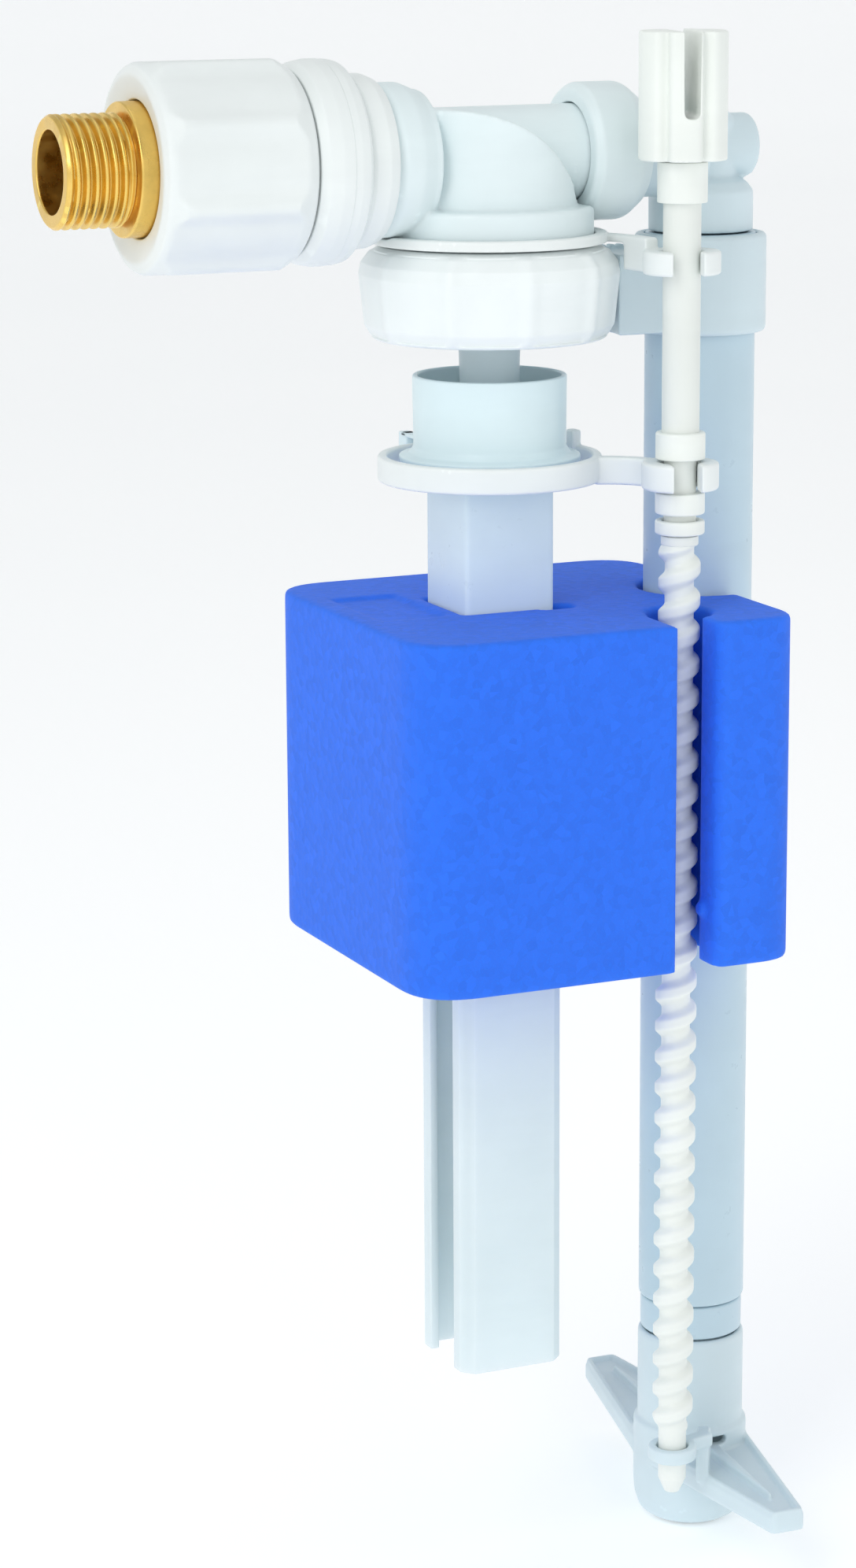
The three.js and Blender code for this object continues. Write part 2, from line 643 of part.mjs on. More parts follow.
// Foot: a sleeve that ends in a round shoe with two tapering wings and an eye for the spindle's tip.
function pipeFoot() {
  const sleeve = diskZ(sleeveR, footTop - 2, spigotEnd, pipe, 28);
  const shoe = turnedZ([
    [0, footBottom], [footR - 3.4, footBottom], [footR - 1.4, footBottom + 1.2],
    [footR - 0.3, footBottom + 3.6], [footR, footBottom + 7], [footR, footTop - 1],
    [footR - 0.6, footTop], [0, footTop],
  ], 28, pipe.x, 0);
  const turnWings = (solid) =>
    solid.translate([-pipe.x, 0, 0]).rotate([0, 0, wingTurn]).translate([pipe.x, 0, 0]);
  const rootHalf = footR - 0.2;
  const wing = polygon([
    [-wingTipHalf, -wingReach], [wingTipHalf, -wingReach], [rootHalf, -4], [rootHalf, 4],
    [wingTipHalf, wingReach], [-wingTipHalf, wingReach], [-rootHalf, 4], [-rootHalf, -4],
  ].map(([x, y]) => [x + pipe.x, y]));
  const plate = prismZ(wing, wingTop - wingThick, wingTop);
  const ribShape = (side) => polygon([
    [pipe.x - 1.1, 0], [pipe.x + 1.1, 0],
    [pipe.x + 0.6, side * (wingReach - 10)], [pipe.x - 0.6, side * (wingReach - 10)],
  ]);
  const ribs = [-1, 1].map((side) => prismZ(ribShape(side), wingTop - 1, wingTop + 1.6));
  const wings = turnWings(join(plate, ...ribs));
  const eye = ringZ(eyeR, eyeR + 1.7, eyeBottom, eyeTop, rod, coarse);
  const wingEdge = pipe.x - 9.2;
  const eyeArm = strip([[rod.x + 3, rod.y + 1.6], [wingEdge + 2, rod.y + 3]], 3, eyeBottom, eyeTop);
  const post = strip([[wingEdge, rod.y + 2], [wingEdge + 2.6, rod.y + 6]], 2.6, wingTop - 1, eyeTop);
  const eyeClear = diskZ(eyeR, -270, -250, rod, coarse);
  const bore = diskZ(9.6, footBottom + 4, spigotEnd + 1, pipe, coarse);
  const spout = diskZ(7, footBottom - 1, footBottom + 6, pipe, coarse);
  const window = block(pipe.x - 2.4, pipe.x + 2.4, -14, -6, wingTop + 1.8, wingTop + 3.4);
  const outer = join(cut(join(eye, eyeArm), eyeClear), post);
  return cut(join(sleeve, shoe, wings, outer), bore, spout, window);
}

// ---------------------------------------------------------------- spindle

// Head with six flutes and a deep screwdriver slot.
function spindleHead() {
  const fluteDepth = 1.6;
  const firstFlute = THREE.MathUtils.degToRad(headFluteAngle);
  const outline = ribbedOutline(headR, headFlutes, -fluteDepth, firstFlute, 8, 5);
  const fluted = prismZ(polygon(outline.map(([x, y]) => [x + rod.x, y + rod.y])), headBottom, headTop);
  const slot = toSolid(new THREE.BoxGeometry(3, 3 * headR, headSlotDepth)
    .rotateZ(THREE.MathUtils.degToRad(headSlotAngle))
    .translate(rod.x, rod.y, headTop - headSlotDepth / 2 + 0.1));
  const socket = diskZ(rodR + gap, headBottom - 1, headTop - headSlotDepth - 1.6, rod, coarse);
  return cut(fluted, slot, socket);
}

// Core and ridge of a right-handed thread as one closed skin that climbs round the axis.
// At the heights bottom + whole pitches the ridge faces +X and the groove faces -X.
function threadedRod(axis, bottom, top, pitch, rootR, crestR) {
  const sides = 8;
  const profile = [[rootR, 0], [crestR, 0.13], [crestR, 0.41], [rootR, 0.54]];
  const startAngle = 0.27 * 2 * Math.PI;
  const steps = Math.round(((top - bottom) / pitch) * sides);
  const positions = [];
  const index = [];
  const at = (step, k) => step * profile.length + k;
  for (let i = 0; i <= steps; i += 1) {
    const angle = startAngle + (i / sides) * Math.PI * 2;
    for (const [r, rise] of profile) {
      const z = bottom + (i / sides + rise) * pitch;
      positions.push(axis.x + r * Math.cos(angle), axis.y + r * Math.sin(angle), z);
    }
  }
  const quad = (a, b, c, d) => index.push(a, b, c, a, c, d);
  for (let i = 0; i < steps; i += 1) {
    for (let k = 0; k < 3; k += 1) quad(at(i, k), at(i + 1, k), at(i + 1, k + 1), at(i, k + 1));
  }
  for (let i = 0; i < steps - sides; i += 1) {
    quad(at(i, 3), at(i + 1, 3), at(i + 1 + sides, 0), at(i + sides, 0));
  }
  const low = positions.push(axis.x, axis.y, bottom) / 3 - 1;
  const high = positions.push(axis.x, axis.y, top + 0.54 * pitch) / 3 - 1;
  for (let i = 0; i < sides; i += 1) {
    index.push(low, at(i + 1, 0), at(i, 0));
    index.push(high, at(steps - sides + i, 3), at(steps - sides + i + 1, 3));
  }
  for (let k = 0; k < 3; k += 1) {
    index.push(low, at(0, k), at(0, k + 1));
    index.push(high, at(steps, k + 1), at(steps, k));
  }
  index.push(low, at(0, 3), at(sides, 0), high, at(steps, 0), at(steps - sides, 3));
  const geometry = new THREE.BufferGeometry();
  geometry.setAttribute('position', new THREE.Float32BufferAttribute(positions, 3));
  geometry.setIndex(index);
  return toSolid(geometry);
}

// Spindle below the head: collars, neck for the lever's fork, stop groove and coarse thread.
function spindle() {
  const upper = turnedZ([
    [0, threadTop - 4], [threadRootR - 0.2, threadTop - 4], [threadRootR - 0.2, threadTop + 1.6],
    [rodR, threadTop + 1.6], [rodR, stopRingBottom - gap], [neckR, stopRingBottom - gap],
    [neckR, lowCollarBottom], [rodCollarR, lowCollarBottom], [rodCollarR, neckBottom], [neckR, neckBottom],
    [neckR, neckTop], [rodCollarR, neckTop], [rodCollarR, midCollarTop], [rodR, midCollarTop],
    [rodR, topCollarBottom], [rodCollarR, topCollarBottom], [rodCollarR, headBottom - gap],
    [rodR, headBottom - gap], [rodR, headBottom + 5], [0, headBottom + 5],
  ], coarse, rod.x, rod.y);
  const thread = threadedRod(rod, threadBottom, threadTop, threadPitch, threadRootR, threadCrestR);
  const tip = turnedZ([
    [0, rodTip], [1.5, rodTip], [threadRootR, rodTip + 3], [threadRootR, threadBottom + 2],
    [0, threadBottom + 2],
  ], coarse, rod.x, rod.y);
  return join(upper, thread, tip);
}

// Snap ring in the spindle's groove; it carries the lift.
function stopRing() {
  return ringZ(neckR + gap, rodCollarR, stopRingBottom, stopRingTop, rod, coarse);
}

// ---------------------------------------------------------------- float

// Block float with a square way for the column, a notch for the pipe and a slot for the spindle.
function floatBlock() {
  const low = floatBottom - 1;
  const high = floatTop + 1;
  const outline = roundedRect(floatLeft, floatRight, floatFront, floatBack, floatCorner);
  const main = prismZ(outline, floatBottom, floatTop, 6);
  const frontCornerOutline = roundedRect(floatRight - 20, floatRight, floatFront, 0, floatFrontCorner);
  const frontCorner = prismZ(frontCornerOutline, floatBottom, floatTop, 5);
  const slotRound = { x: floatSlotRight + slotCornerR, y: floatFront + slotCornerR };
  const slotCorner = cut(
    block(floatSlotRight - 1, slotRound.x, floatFront - 1, slotRound.y, low, high),
    diskZ(slotCornerR, low - 1, high + 1, slotRound, coarse),
  );
  const rodWay = join(
    diskZ(floatWayR, low, high, rod, coarse),
    block(floatSlotLeft, floatSlotRight, floatFront - 1, rod.y, low, high),
  );
  const columnWay = join(
    prismZ(squareAt(valve, columnHalf + 0.6, 1.2), low, high, 3),
    prismZ(squareAt(valve, channelHalf + 0.6, 1.2), low, floatTop - floatLid, 3),
    block(valve.x + 6, valve.x + 13, -11.4, -7.4, floatTop - 5, high),
    block(valve.x + 6, valve.x + 13, 7.4, 11.4, floatTop - 5, high),
  );
  const pipeWay = join(
    diskZ(floatPipeWayR, low, high, pipe, fine),
    block(pipe.x, floatRight + 1, -floatPipeWayR, floatPipeWayR, low, high),
  );
  const panelOutline = roundedRect(floatLeft + 5, valve.x - 13, -9, 17, 1.5);
  const panel = prismZ(panelOutline, floatTop - 0.7, high, 3);
  return cut(join(main, frontCorner), rodWay, columnWay, pipeWay, panel, slotCorner);
}

// Part nut seated behind the spindle in the float's round way; its tooth runs in the thread.
function floatNut() {
  const nutHalf = 3.6;
  const nutZ = threadBottom + 17 * threadPitch;
  const full = ringZ(threadCrestR + 0.5, floatWayR - gap, nutZ - nutHalf, nutZ + nutHalf, rod, coarse);
  const kept = block(rod.x - 8, rod.x + 1, rod.y - 1.2, rod.y + 8, nutZ - 8, nutZ + 8);
  const tooth = block(rod.x - threadCrestR - 1, rod.x - threadRootR - 0.5, rod.y - 1, rod.y + 1,
    nutZ - 0.7, nutZ + 0.7);
  return join(full.intersect(kept), tooth);
}

// ---------------------------------------------------------------- assembly

addPiece('brass_connector', brassConnector(), brass);
addPiece('coupling_nut', couplingNut(), white);
addPiece('connector_gasket', connectorGasket(), darkRubber);
addPiece('inlet_strainer', inletStrainer(), mesh);
addPiece('lock_collar', lockCollar(), white);
addPiece('wall_washer', wallWasher(), white);
addPiece('valve_body', valveBody(), paleBlue);
addPiece('seat_ring', seatRing(), mesh);
addPiece('outlet_cap', outletCap(), paleBlue);
addPiece('outlet_seal', outletSeal(), darkRubber);
addPiece('outlet_elbow', outletElbow(), paleBlue);
addPiece('elbow_plug', elbowPlug(), paleBlue);
addPiece('union_nut', unionNut(), white);
addPiece('pilot_bonnet', pilotBonnet(), greyBlue);
addPiece('bonnet_gasket', bonnetGasket(), darkRubber);
addPiece('clamp_ring', clampRing(), greyBlue);
addPiece('diaphragm', diaphragm(), darkRubber);
addPiece('diaphragm_plate', diaphragmPlate(), greyBlue);
addPiece('pilot_pin', pilotPin(), mesh);
addPiece('pilot_cup', pilotCup(), greyBlue);
addPiece('lever_pin', leverPin(), mesh);
addPiece('ring_lever', ringLever(), white);
addPiece('guide_column', guideColumn(), greyBlue);
addPiece('channel_column', channelColumn(), greyBlue);
addPiece('guide_bracket', guideBracket(), white);
addPiece('pipe_bracket', pipeBracket(), paleBlue);
addPiece('discharge_pipe', dischargePipe(), greyBlue);
addPiece('flow_restrictor', flowRestrictor(), greyBlue);
addPiece('pipe_spigot', pipeSpigot(), greyBlue);
addPiece('pipe_foot', pipeFoot(), greyBlue);
addPiece('spindle_head', spindleHead(), cream);
addPiece('spindle', spindle(), cream);
addPiece('stop_ring', stopRing(), cream);
addPiece('float_block', floatBlock(), blue);
addPiece('float_nut', floatNut(), blue);

export default part;
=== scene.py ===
"""Float valve for a cistern: detailed pieces and materials. Lengths are millimetres until a mesh is made."""

import json
import math

import bmesh
import bpy
from mathutils import Matrix, Vector

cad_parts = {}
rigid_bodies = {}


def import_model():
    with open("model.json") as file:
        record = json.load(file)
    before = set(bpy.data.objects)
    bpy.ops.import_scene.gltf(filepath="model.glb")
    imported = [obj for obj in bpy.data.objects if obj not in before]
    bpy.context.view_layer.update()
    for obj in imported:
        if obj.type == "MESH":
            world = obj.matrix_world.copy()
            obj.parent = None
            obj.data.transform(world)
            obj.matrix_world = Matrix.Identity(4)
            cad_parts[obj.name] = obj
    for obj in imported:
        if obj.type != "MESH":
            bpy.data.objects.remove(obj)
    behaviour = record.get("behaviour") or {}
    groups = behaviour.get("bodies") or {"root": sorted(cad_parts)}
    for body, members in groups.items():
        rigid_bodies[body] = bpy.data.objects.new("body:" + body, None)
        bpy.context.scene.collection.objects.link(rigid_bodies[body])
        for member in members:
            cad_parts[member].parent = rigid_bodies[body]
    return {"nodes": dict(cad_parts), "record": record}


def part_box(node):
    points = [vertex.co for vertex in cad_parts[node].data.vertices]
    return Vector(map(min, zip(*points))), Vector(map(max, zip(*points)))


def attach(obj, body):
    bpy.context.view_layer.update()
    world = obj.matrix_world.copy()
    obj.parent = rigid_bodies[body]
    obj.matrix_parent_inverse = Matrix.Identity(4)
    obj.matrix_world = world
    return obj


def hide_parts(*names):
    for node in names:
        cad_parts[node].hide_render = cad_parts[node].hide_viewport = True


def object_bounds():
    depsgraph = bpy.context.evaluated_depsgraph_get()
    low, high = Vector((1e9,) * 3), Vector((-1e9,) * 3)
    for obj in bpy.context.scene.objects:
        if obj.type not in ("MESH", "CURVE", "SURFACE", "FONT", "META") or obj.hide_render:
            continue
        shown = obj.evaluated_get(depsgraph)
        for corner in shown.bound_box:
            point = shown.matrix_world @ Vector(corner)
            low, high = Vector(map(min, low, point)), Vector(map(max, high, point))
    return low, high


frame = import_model()
cad_low, cad_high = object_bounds()

MM = 0.001
TURN = 2 * math.pi
BODY_OF = {node: body for body, nodes in frame["record"]["behaviour"]["bodies"].items() for node in nodes}


# ---------------------------------------------------------------- places taken from the frame

class Span:
    """Box of a CAD node in millimetres."""

    def __init__(self, node):
        low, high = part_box(node)
        self.x0, self.y0, self.z0 = (v / MM for v in low)
        self.x1, self.y1, self.z1 = (v / MM for v in high)
        spans = ((self.x0, self.x1), (self.y0, self.y1), (self.z0, self.z1))
        self.cx, self.cy, self.cz = ((a + b) / 2 for a, b in spans)


column_box = Span("guide_column")
pipe_box = Span("discharge_pipe")
ring_box = Span("stop_ring")
VALVE = (column_box.cx, column_box.cy)
PIPE = (pipe_box.cx, pipe_box.cy)
ROD = (ring_box.cx, ring_box.cy)
INLET = (0, 0)
PLUG_Z = 0.5


# ---------------------------------------------------------------- closed skins

def rounded(points, steps=5):
    """Closed outline of (a, b) or (a, b, radius), with each corner turned on its radius."""
    outline = []
    for i, point in enumerate(points):
        here = Vector(point[:2])
        radius = point[2] if len(point) > 2 else 0
        back = Vector(points[i - 1][:2]) - here
        on = Vector(points[(i + 1) % len(points)][:2]) - here
        if not radius:
            outline.append(tuple(here))
            continue
        reach = min(radius / math.tan(back.angle(on) / 2), 0.49 * back.length, 0.49 * on.length)
        start, end = here + back.normalized() * reach, here + on.normalized() * reach
        for k in range(steps + 1):
            t = k / steps
            outline.append(tuple((1 - t) ** 2 * start + 2 * t * (1 - t) * here + t * t * end))
    return outline


def stretch(points, step):
    """The outline with long edges split, so that a modulated skin has enough rings."""
    out = []
    for a, b in zip(points, points[1:] + points[:1]):
        count = max(1, math.ceil(math.dist(a, b) / step))
        out += [(a[0] + (b[0] - a[0]) * k / count, a[1] + (b[1] - a[1]) * k / count) for k in range(count)]
    return out


def turned(profile, axis="Z", at=(0, 0), sides=96, shape=None):
    """Closed (radius, height) outline turned round an axis parallel to Z at (x, y), or to X at (y, z)."""
    verts, faces = [], []
    count = len(profile)
    for i in range(sides):
        angle = TURN * i / sides
        for r, h in profile:
            if shape:
                r, h = shape(r, h, angle)
            a, b = at[0] + r * math.cos(angle), at[1] + r * math.sin(angle)
            verts.append((a, b, h) if axis == "Z" else (h, a, b))
    for i in range(sides):
        for k in range(count):
            m = (k + 1) % count
            if profile[k][0] == 0 and profile[m][0] == 0:
                continue
            j = (i + 1) % sides
            faces.append((i * count + k, j * count + k, j * count + m, i * count + m))
    return verts, faces


def inset(outline, distance):
    """A closed anticlockwise outline moved inwards."""
    moved = []
    for i, point in enumerate(outline):
        here = Vector(point)
        along = (here - Vector(outline[i - 1])).normalized()
        on = (Vector(outline[(i + 1) % len(outline)]) - here).normalized()
        normal = Vector((-along.y, along.x)) + Vector((-on.y, on.x))
        if normal.length < 1e-6:
            normal = Vector((-along.y, along.x))
        normal.normalize()
        lean = max(0.5, normal.dot(Vector((-along.y, along.x))))
        moved.append(tuple(here + normal * (distance / lean)))
    return moved


def prism(outline, low, high, edge=0.4, steps=3):
    """Closed solid on an outline in plan, with its end edges turned on a radius."""
    area = sum(a[0] * b[1] - b[0] * a[1] for a, b in zip(outline, outline[1:] + outline[:1]))
    if area < 0:
        outline = outline[::-1]
    rings = []
    for k in range(steps + 1):
        a = k / steps * math.pi / 2
        rings.append((edge * (1 - math.sin(a)), low + edge * (1 - math.cos(a))))
    for k in range(steps + 1):
        a = (1 - k / steps) * math.pi / 2
        rings.append((edge * (1 - math.sin(a)), high - edge * (1 - math.cos(a))))
    verts, faces = [], []
    for distance, h in rings:
        verts += [(x, y, h) for x, y in (inset(outline, distance) if distance else outline)]
    n = len(outline)
    for i in range(len(rings) - 1):
        for k in range(n):
            m = (k + 1) % n
            faces.append((i * n + k, i * n + m, (i + 1) * n + m, (i + 1) * n + k))
    faces.append(tuple(range(n))[::-1])
    faces.append(tuple(range((len(rings) - 1) * n, len(rings) * n)))
    return verts, faces


def placed(solid, matrix):
    verts, faces = solid
    return [tuple(matrix @ Vector(v)) for v in verts], faces


def rectangle(x0, x1, y0, y1, radius, steps=5):
    return rounded([(x0, y0, radius), (x1, y0, radius), (x1, y1, radius), (x0, y1, radius)], steps)


def bar(x0, x1, y0, y1, z0, z1, radius=0.4, edge=0.3):
    return prism(rectangle(x0, x1, y0, y1, radius, 3), z0, z1, edge)


def drum(radius, low, high, at, edge=0.4, axis="Z", sides=96):
    return turned(rounded([(0, low), (radius, low, edge), (radius, high, edge), (0, high)]), axis, at, sides)


def tube(inner, outer, low, high, at, edge=0.3, axis="Z", sides=96):
    corners = [(inner, low, edge), (outer, low, edge), (outer, high, edge), (inner, high, edge)]
    return turned(rounded(corners, 4), axis, at, sides)


def ribbon(path, widths, low, high, edge=0.35):
    """Flat arm along a smooth path in plan, with a width at each point."""
    left, right = [], []
    points = [Vector(p) for p in path]
    for i, here in enumerate(points):
        along = (points[min(i + 1, len(points) - 1)] - points[max(i - 1, 0)]).normalized()
        side = Vector((-along.y, along.x)) * (widths[i] / 2)
        left.append(tuple(here + side))
        right.append(tuple(here - side))
    return prism(right + left[::-1], low, high, edge)


def smooth_path(corners, steps=8):
    """Quadratic curves through the middles of the legs between corners."""
    points = [Vector(c) for c in corners]
    path = [tuple(points[0])]
    for i in range(1, len(points) - 1):
        start, end = (points[i - 1] + points[i]) / 2, (points[i] + points[i + 1]) / 2
        if i == 1:
            start = points[0]
        if i == len(points) - 2:
            end = points[-1]
        for k in range(1, steps + 1):
            t = k / steps
            path.append(tuple((1 - t) ** 2 * start + 2 * t * (1 - t) * points[i] + t * t * end))
    return path


# ---------------------------------------------------------------- from skins to pieces

def raw_mesh(name, solids):
    """One mesh from closed skins given in millimetres, with its faces turned outwards."""
    verts, faces = [], []
    for solid_verts, solid_faces in solids:
        base = len(verts)
        verts += [(x * MM, y * MM, z * MM) for x, y, z in solid_verts]
        faces += [tuple(base + i for i in face) for face in solid_faces]
    mesh = bpy.data.meshes.new(name)
    mesh.from_pydata(verts, [], faces)
    bm = bmesh.new()
    bm.from_mesh(mesh)
    bmesh.ops.remove_doubles(bm, verts=bm.verts, dist=1e-7)
    bmesh.ops.dissolve_degenerate(bm, edges=bm.edges, dist=1e-8)
    bmesh.ops.recalc_face_normals(bm, faces=bm.faces)
    bm.to_mesh(mesh)
    bm.free()
    return mesh


def place(mesh, nodes, material, crease=38):
    """Puts a mesh in the scene as the piece that stands for CAD nodes."""
    mesh.shade_smooth()
    mesh.set_sharp_from_angle(angle=math.radians(crease))
    piece = bpy.data.objects.new(nodes[0] + "_look", mesh)
    bpy.context.scene.collection.objects.link(piece)
    piece.data.materials.clear()
    piece.data.materials.append(material)
    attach(piece, BODY_OF[nodes[0]])
    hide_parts(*nodes)
    return piece


def skinned(node, slot, material, *solids, crease=38):
    return place(raw_mesh(node + "_look", solids), [node], material, crease)


def moulded(node, material, solids, cuts=(), added=(), voxel=0.35, soften=5, crease=70):
    """Solids joined and cut, then re-skinned finely so that every inner and outer edge is a small fillet."""
    scene = bpy.context.scene.collection.objects
    helpers = []
    base = bpy.data.objects.new("base", raw_mesh("base", solids[:1]))
    scene.link(base)
    for operation, group in (("UNION", solids[1:]), ("DIFFERENCE", cuts), ("UNION", added)):
        for solid in group:
            helper = bpy.data.objects.new("helper", raw_mesh("helper", [solid]))
            scene.link(helper)
            helpers.append(helper)
            modifier = base.modifiers.new(operation, "BOOLEAN")
            modifier.operation = operation
            modifier.solver = "MANIFOLD"
            modifier.object = helper
    remesh = base.modifiers.new("skin", "REMESH")
    remesh.mode = "VOXEL"
    remesh.voxel_size = voxel * MM
    soft = base.modifiers.new("soft", "SMOOTH")
    soft.factor = 0.5
    soft.iterations = soften
    bpy.context.view_layer.update()
    made = base.evaluated_get(bpy.context.evaluated_depsgraph_get())
    mesh = bpy.data.meshes.new_from_object(made)
    for spare in helpers + [base]:
        old = spare.data
        bpy.data.objects.remove(spare)
        bpy.data.meshes.remove(old)
    mesh.name = node + "_look"
    return place(mesh, [node], material, crease)


# ---------------------------------------------------------------- materials

class Look:
    """A material and the few node moves that all of them share."""

    def __init__(self, name):
        self.material = bpy.data.materials.new(name)
        self.material.use_nodes = True
        self.nodes = self.material.node_tree.nodes
        self.links = self.material.node_tree.links
        self.nodes.clear()
        self.shader = self.nodes.new("ShaderNodeBsdfPrincipled")
        output = self.nodes.new("ShaderNodeOutputMaterial")
        self.links.new(self.shader.outputs[0], output.inputs[0])
        self.place = self.nodes.new("ShaderNodeTexCoord").outputs["Object"]
        self.normal = None

    def set(self, **values):
        for key, value in values.items():
            self.shader.inputs[key.replace("_", " ")].default_value = value

    def stretched(self, scale):
        node = self.nodes.new("ShaderNodeMapping")
        node.inputs["Scale"].default_value = scale
        self.links.new(self.place, node.inputs["Vector"])
        return node.outputs[0]

    def noise(self, scale, detail=3.0, rough=0.5, vector=None):
        node = self.nodes.new("ShaderNodeTexNoise")
        node.inputs["Scale"].default_value = scale
        node.inputs["Detail"].default_value = detail
        node.inputs["Roughness"].default_value = rough
        self.links.new(vector or self.place, node.inputs["Vector"])
        return node.outputs[0]

    def cells(self, scale, output="Distance"):
        node = self.nodes.new("ShaderNodeTexVoronoi")
        node.inputs["Scale"].default_value = scale
        self.links.new(self.place, node.inputs["Vector"])
        return node.outputs[output]

    def ranged(self, value, low, high, to_low, to_high):
        node = self.nodes.new("ShaderNodeMapRange")
        for i, number in enumerate((low, high, to_low, to_high)):
            node.inputs[i + 1].default_value = number
        self.links.new(value, node.inputs[0])
        return node.outputs[0]

    def edges(self, low, high, to_low, to_high):
        pointiness = self.nodes.new("ShaderNodeNewGeometry").outputs["Pointiness"]
        return self.ranged(pointiness, low, high, to_low, to_high)

    def mixed(self, factor, first, second):
        node = self.nodes.new("ShaderNodeMix")
        node.data_type = "RGBA"
        self.links.new(factor, node.inputs[0])
        for socket, colour in ((node.inputs[6], first), (node.inputs[7], second)):
            if isinstance(colour, tuple):
                socket.default_value = (*colour, 1)
            else:
                self.links.new(colour, socket)
        return node.outputs[2]

    def colour(self, value):
        self.links.new(value, self.shader.inputs["Base Color"])

    def roughness(self, value):
        self.links.new(value, self.shader.inputs["Roughness"])

    def bump(self, height, strength, depth_mm):
        node = self.nodes.new("ShaderNodeBump")
        node.inputs["Strength"].default_value = strength
        node.inputs["Distance"].default_value = depth_mm * MM
        self.links.new(height, node.inputs["Height"])
        if self.normal:
            self.links.new(self.normal, node.inputs["Normal"])
        self.normal = node.outputs[0]
        self.links.new(self.normal, self.shader.inputs["Normal"])


def linear(red, green, blue):
    """An sRGB colour in 0 to 255 as linear light."""
    levels = (c / 255 for c in (red, green, blue))
    return tuple(c / 12.92 if c <= 0.04 else ((c + 0.055) / 1.055) ** 2.4 for c in levels)


def shade(colour, factor):
    return tuple(min(1.0, c * factor) for c in colour)


def plastic(name, colour, rough=0.42, glow=0.08, grain=0.5, glow_depth=0.002):
    """Moulded plastic: slow changes of tone, flow marks, a painted highlight on convex edges, painted shade
    in creases and a fine satin grain.
    """
    look = Look(name)
    tone = look.mixed(look.ranged(look.noise(38, 4), 0.35, 0.68, 0, 1), shade(colour, 0.955),
        shade(colour, 1.02))
    flow = look.noise(60, 5, 0.6, look.stretched((0.35, 0.35, 1.6)))
    tone = look.mixed(look.ranged(flow, 0.5, 0.72, 0, 0.35), tone, shade(colour, 0.9))
    # painted highlight: convex edges are mixed towards a lighter tone
    tone = look.mixed(look.edges(0.5, 0.62, 0, 0.5), tone, shade(colour, 1.1))
    # painted shade: creases and inner corners are mixed towards a darker tone
    tone = look.mixed(look.edges(0.36, 0.49, 0.45, 0), tone, shade(colour, 0.72))
    look.colour(tone)
    look.roughness(look.ranged(look.noise(260, 5, 0.6), 0.3, 0.7, rough - 0.08, rough + 0.1))
    look.bump(look.noise(75, 2), 0.25, 0.08)
    look.bump(look.noise(2400, 3, 0.6), grain, 0.012)
    look.set(Specular_IOR_Level=0.5, Subsurface_Weight=glow, Subsurface_Scale=glow_depth)
    look.shader.inputs["Subsurface Radius"].default_value = (1.0, 1.0, 1.0)
    return look.material


def foam(name, colour):
    """Dense blue foam: small fused beads, each a little lighter or darker, an open matt skin and a painted
    highlight on the convex edges.
    """
    look = Look(name)
    bead = look.ranged(look.cells(620, "Color"), 0, 1, 0, 1)
    tone = look.mixed(bead, shade(colour, 0.88), shade(colour, 1.08))
    tone = look.mixed(look.ranged(look.noise(24, 4), 0.3, 0.7, 0, 0.5), tone, shade(colour, 0.94))
    grain = look.noise(1900, 3, 0.7)
    tone = look.mixed(look.ranged(grain, 0.52, 0.75, 0, 0.5), tone, shade(colour, 1.3))
    # painted highlight: convex edges of the foam are mixed towards a lighter tone
    tone = look.mixed(look.edges(0.5, 0.6, 0, 0.45), tone, shade(colour, 1.35))
    look.colour(tone)
    look.roughness(look.ranged(grain, 0.3, 0.7, 0.66, 0.85))
    look.bump(look.cells(620), 0.35, 0.18)
    look.bump(grain, 0.5, 0.05)
    look.set(Specular_IOR_Level=0.35, Sheen_Weight=0.06, Sheen_Roughness=0.5)
    return look.material


def machined(name, colour, dark):
    """Turned brass: rings left by the tool, patches of tarnish, painted shade in the thread roots and a
    painted highlight on the crests.
    """
    look = Look(name)
    stain = look.ranged(look.noise(110, 6, 0.65), 0.42, 0.7, 0, 0.65)
    tone = look.mixed(stain, colour, shade(colour, 0.72))
    # painted shade: thread roots and inner corners are mixed towards a dark brown
    tone = look.mixed(look.edges(0.40, 0.495, 0.85, 0), tone, dark)
    # painted highlight: thread crests and convex edges are mixed towards a brighter brass
    tone = look.mixed(look.edges(0.51, 0.6, 0, 0.6), tone, shade(colour, 1.35))
    look.colour(tone)
    look.roughness(look.ranged(look.noise(300, 4), 0.3, 0.7, 0.2, 0.42))
    look.bump(look.noise(1, 3, 0.5, look.stretched((4200, 60, 60))), 0.35, 0.02)
    look.bump(look.noise(700, 4), 0.25, 0.02)
    look.set(Metallic=1.0)
    return look.material


def rubber(name, colour):
    look = Look(name)
    look.colour(look.mixed(look.noise(400, 4), shade(colour, 0.8), shade(colour, 1.3)))
    look.roughness(look.ranged(look.noise(900), 0.3, 0.7, 0.6, 0.85))
    look.bump(look.noise(1800, 3), 0.4, 0.03)
    look.set(Specular_IOR_Level=0.35)
    return look.material


def inner_parts(name, colour):
    look = Look(name)
    look.colour(look.mixed(look.noise(500, 4), shade(colour, 0.9), shade(colour, 1.08)))
    look.roughness(look.ranged(look.noise(900), 0.3, 0.7, 0.28, 0.46))
    look.bump(look.noise(2200, 3), 0.3, 0.015)
    return look.material


